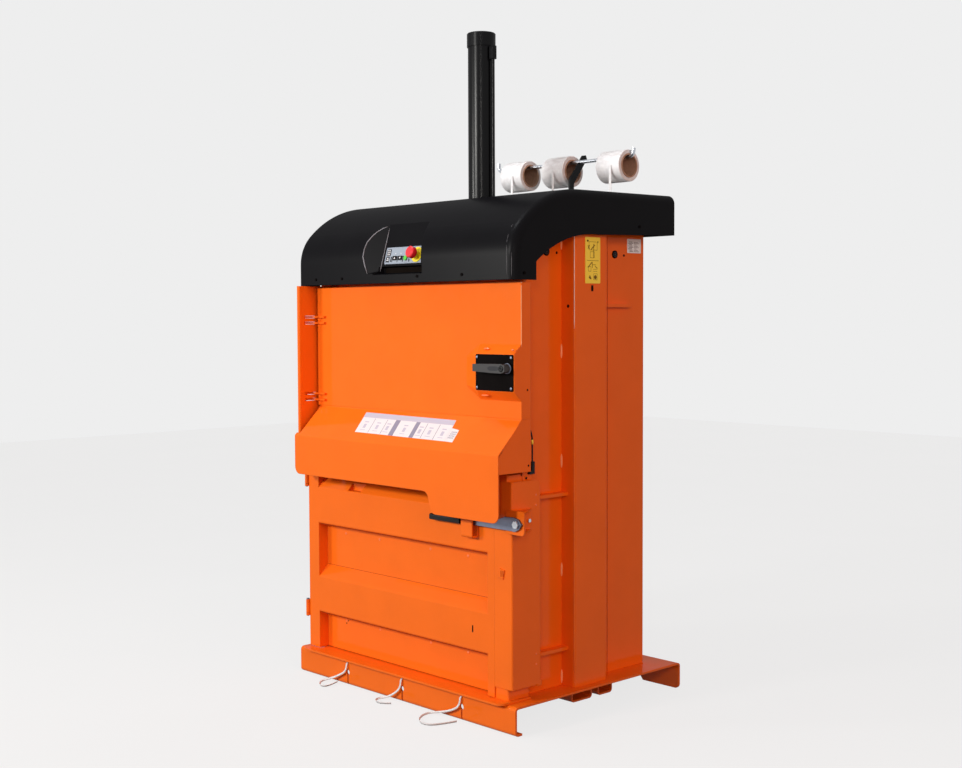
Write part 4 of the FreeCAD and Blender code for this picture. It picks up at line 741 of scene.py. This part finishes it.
def stagePiece():
    half = floorSettings["half"]
    mesh = bpy.data.meshes.new("floor")
    mesh.from_pydata([(-half, -half, 0), (half, -half, 0), (half, half, 0), (-half, half, 0)], [],
                     [(0, 1, 2, 3)])
    floor = bpy.data.objects.new("floor", mesh)
    bpy.context.scene.collection.objects.link(floor)
    look, graph, shader = tree("pale floor")
    tone = noise(graph, place(graph), floorSettings["patch"])
    stops = [(0.3, (floorSettings["dark"],) * 3), (0.7, (floorSettings["light"],) * 3)]
    graph.links.new(ramp(graph, tone, stops), shader.inputs["Base Color"])
    shader.inputs["Roughness"].default_value = floorSettings["roughness"]
    shader.inputs["Specular IOR Level"].default_value = floorSettings["specular"]
    strength = graph.nodes.new("ShaderNodeMath")
    strength.operation = "MULTIPLY"
    strength.inputs[1].default_value = floorSettings["glow"]
    graph.links.new(backdropRays(graph), strength.inputs[0])
    shader.inputs["Emission Color"].default_value = (1, 1, 1, 1)
    graph.links.new(strength.outputs[0], shader.inputs["Emission Strength"])
    mesh.materials.append(look)


stagePiece()

skySettings = {"fill": (1.0, 0.82, 0.74), "fillStrength": 0.27, "backdrop": (0.855, 0.855, 0.855),
               "backdropStrength": 1.0}


# A soft fill for the paint, and the pale backdrop for the camera, metal and gloss.
def skyLight():
    world = bpy.context.scene.world or bpy.data.worlds.new("world")
    bpy.context.scene.world = world
    world.use_nodes = True
    sky = world.node_tree
    for node in list(sky.nodes):
        sky.nodes.remove(node)
    out = sky.nodes.new("ShaderNodeOutputWorld")
    layers = []
    for part in ("fill", "backdrop"):
        layer = sky.nodes.new("ShaderNodeBackground")
        layer.inputs["Color"].default_value = (*skySettings[part], 1)
        layer.inputs["Strength"].default_value = skySettings[part + "Strength"]
        layers.append(layer.outputs[0])
    mix = sky.nodes.new("ShaderNodeMixShader")
    sky.links.new(backdropRays(sky), mix.inputs[0])
    sky.links.new(layers[0], mix.inputs[1])
    sky.links.new(layers[1], mix.inputs[2])
    sky.links.new(mix.outputs[0], out.inputs["Surface"])


skyLight()

# Spots, targets and sizes in metres, power in watts.
lampRows = {
    "key": {"spot": (-2.7, -4.3, 1.75), "target": (0, -0.3, 1.0), "size": (0.7, 0.7), "power": 100,
            "color": (1.0, 0.99, 0.95)},
    "front": {"spot": (-0.4, -4.7, 2.3), "target": (0.0, -0.3, 1.0), "size": (0.6, 0.5), "power": 112,
              "color": (1.0, 0.99, 0.95)},
    "side": {"spot": (4.4, -1.4, 1.9), "target": (0.3, 0.0, 0.9), "size": (2.0, 2.0), "power": 72,
             "color": (1.0, 0.6, 0.48), "glossy": False},
    "right": {"spot": (3.6, -4.0, 2.2), "target": (0.2, 0.0, 0.9), "size": (0.3, 0.3), "power": 22,
              "color": (1.0, 0.95, 0.9)},
    "rolls": {"spot": (-0.1, -0.7, 2.75), "target": (0.03, 0.35, 1.62), "size": (0.5, 0.5), "power": 10,
              "color": (0.93, 0.97, 1.0)},
}


def softLight(name, spot, target, size, power, color, glossy=True):
    data = bpy.data.lights.new(name, "AREA")
    data.shape = "RECTANGLE"
    data.size, data.size_y = size
    data.energy = power
    data.color = color
    lamp = bpy.data.objects.new(name, data)
    bpy.context.scene.collection.objects.link(lamp)
    lamp.location = spot
    lamp.visible_glossy = glossy
    lamp.rotation_euler = (Vector(target) - Vector(spot)).to_track_quat("-Z", "Y").to_euler()


for name, row in lampRows.items():
    softLight(name, **row)

# The photograph's viewpoint, fitted to its edges and corners: metres, degrees, millimetres.
view = {"spot": (3.0613, -2.9005, 1.1358), "azimuth": 46.73, "elevation": 2.83, "roll": -0.22,
        "lens": 51.14, "sensor": 36, "farthest": 60}


def photoCamera():
    az, el, roll = (math.radians(view[k]) for k in ("azimuth", "elevation", "roll"))
    back = Vector((math.sin(az) * math.cos(el), -math.cos(az) * math.cos(el), math.sin(el)))
    level = (-back).cross(Vector((0, 0, 1))).normalized()
    plumb = level.cross(-back)
    right = level * math.cos(roll) + plumb * math.sin(roll)
    up = plumb * math.cos(roll) - level * math.sin(roll)
    data = bpy.data.cameras.new("camera")
    data.sensor_width = view["sensor"]
    data.lens = view["lens"]
    data.clip_end = view["farthest"]
    camera = bpy.data.objects.new("camera", data)
    bpy.context.scene.collection.objects.link(camera)
    turn = Matrix((right, up, back)).transposed().to_4x4()
    camera.matrix_world = Matrix.Translation(Vector(view["spot"])) @ turn
    bpy.context.scene.camera = camera


photoCamera()
bpy.context.scene.view_settings.view_transform = "Standard"
bpy.context.scene.view_settings.look = "None"
print("light and camera done")
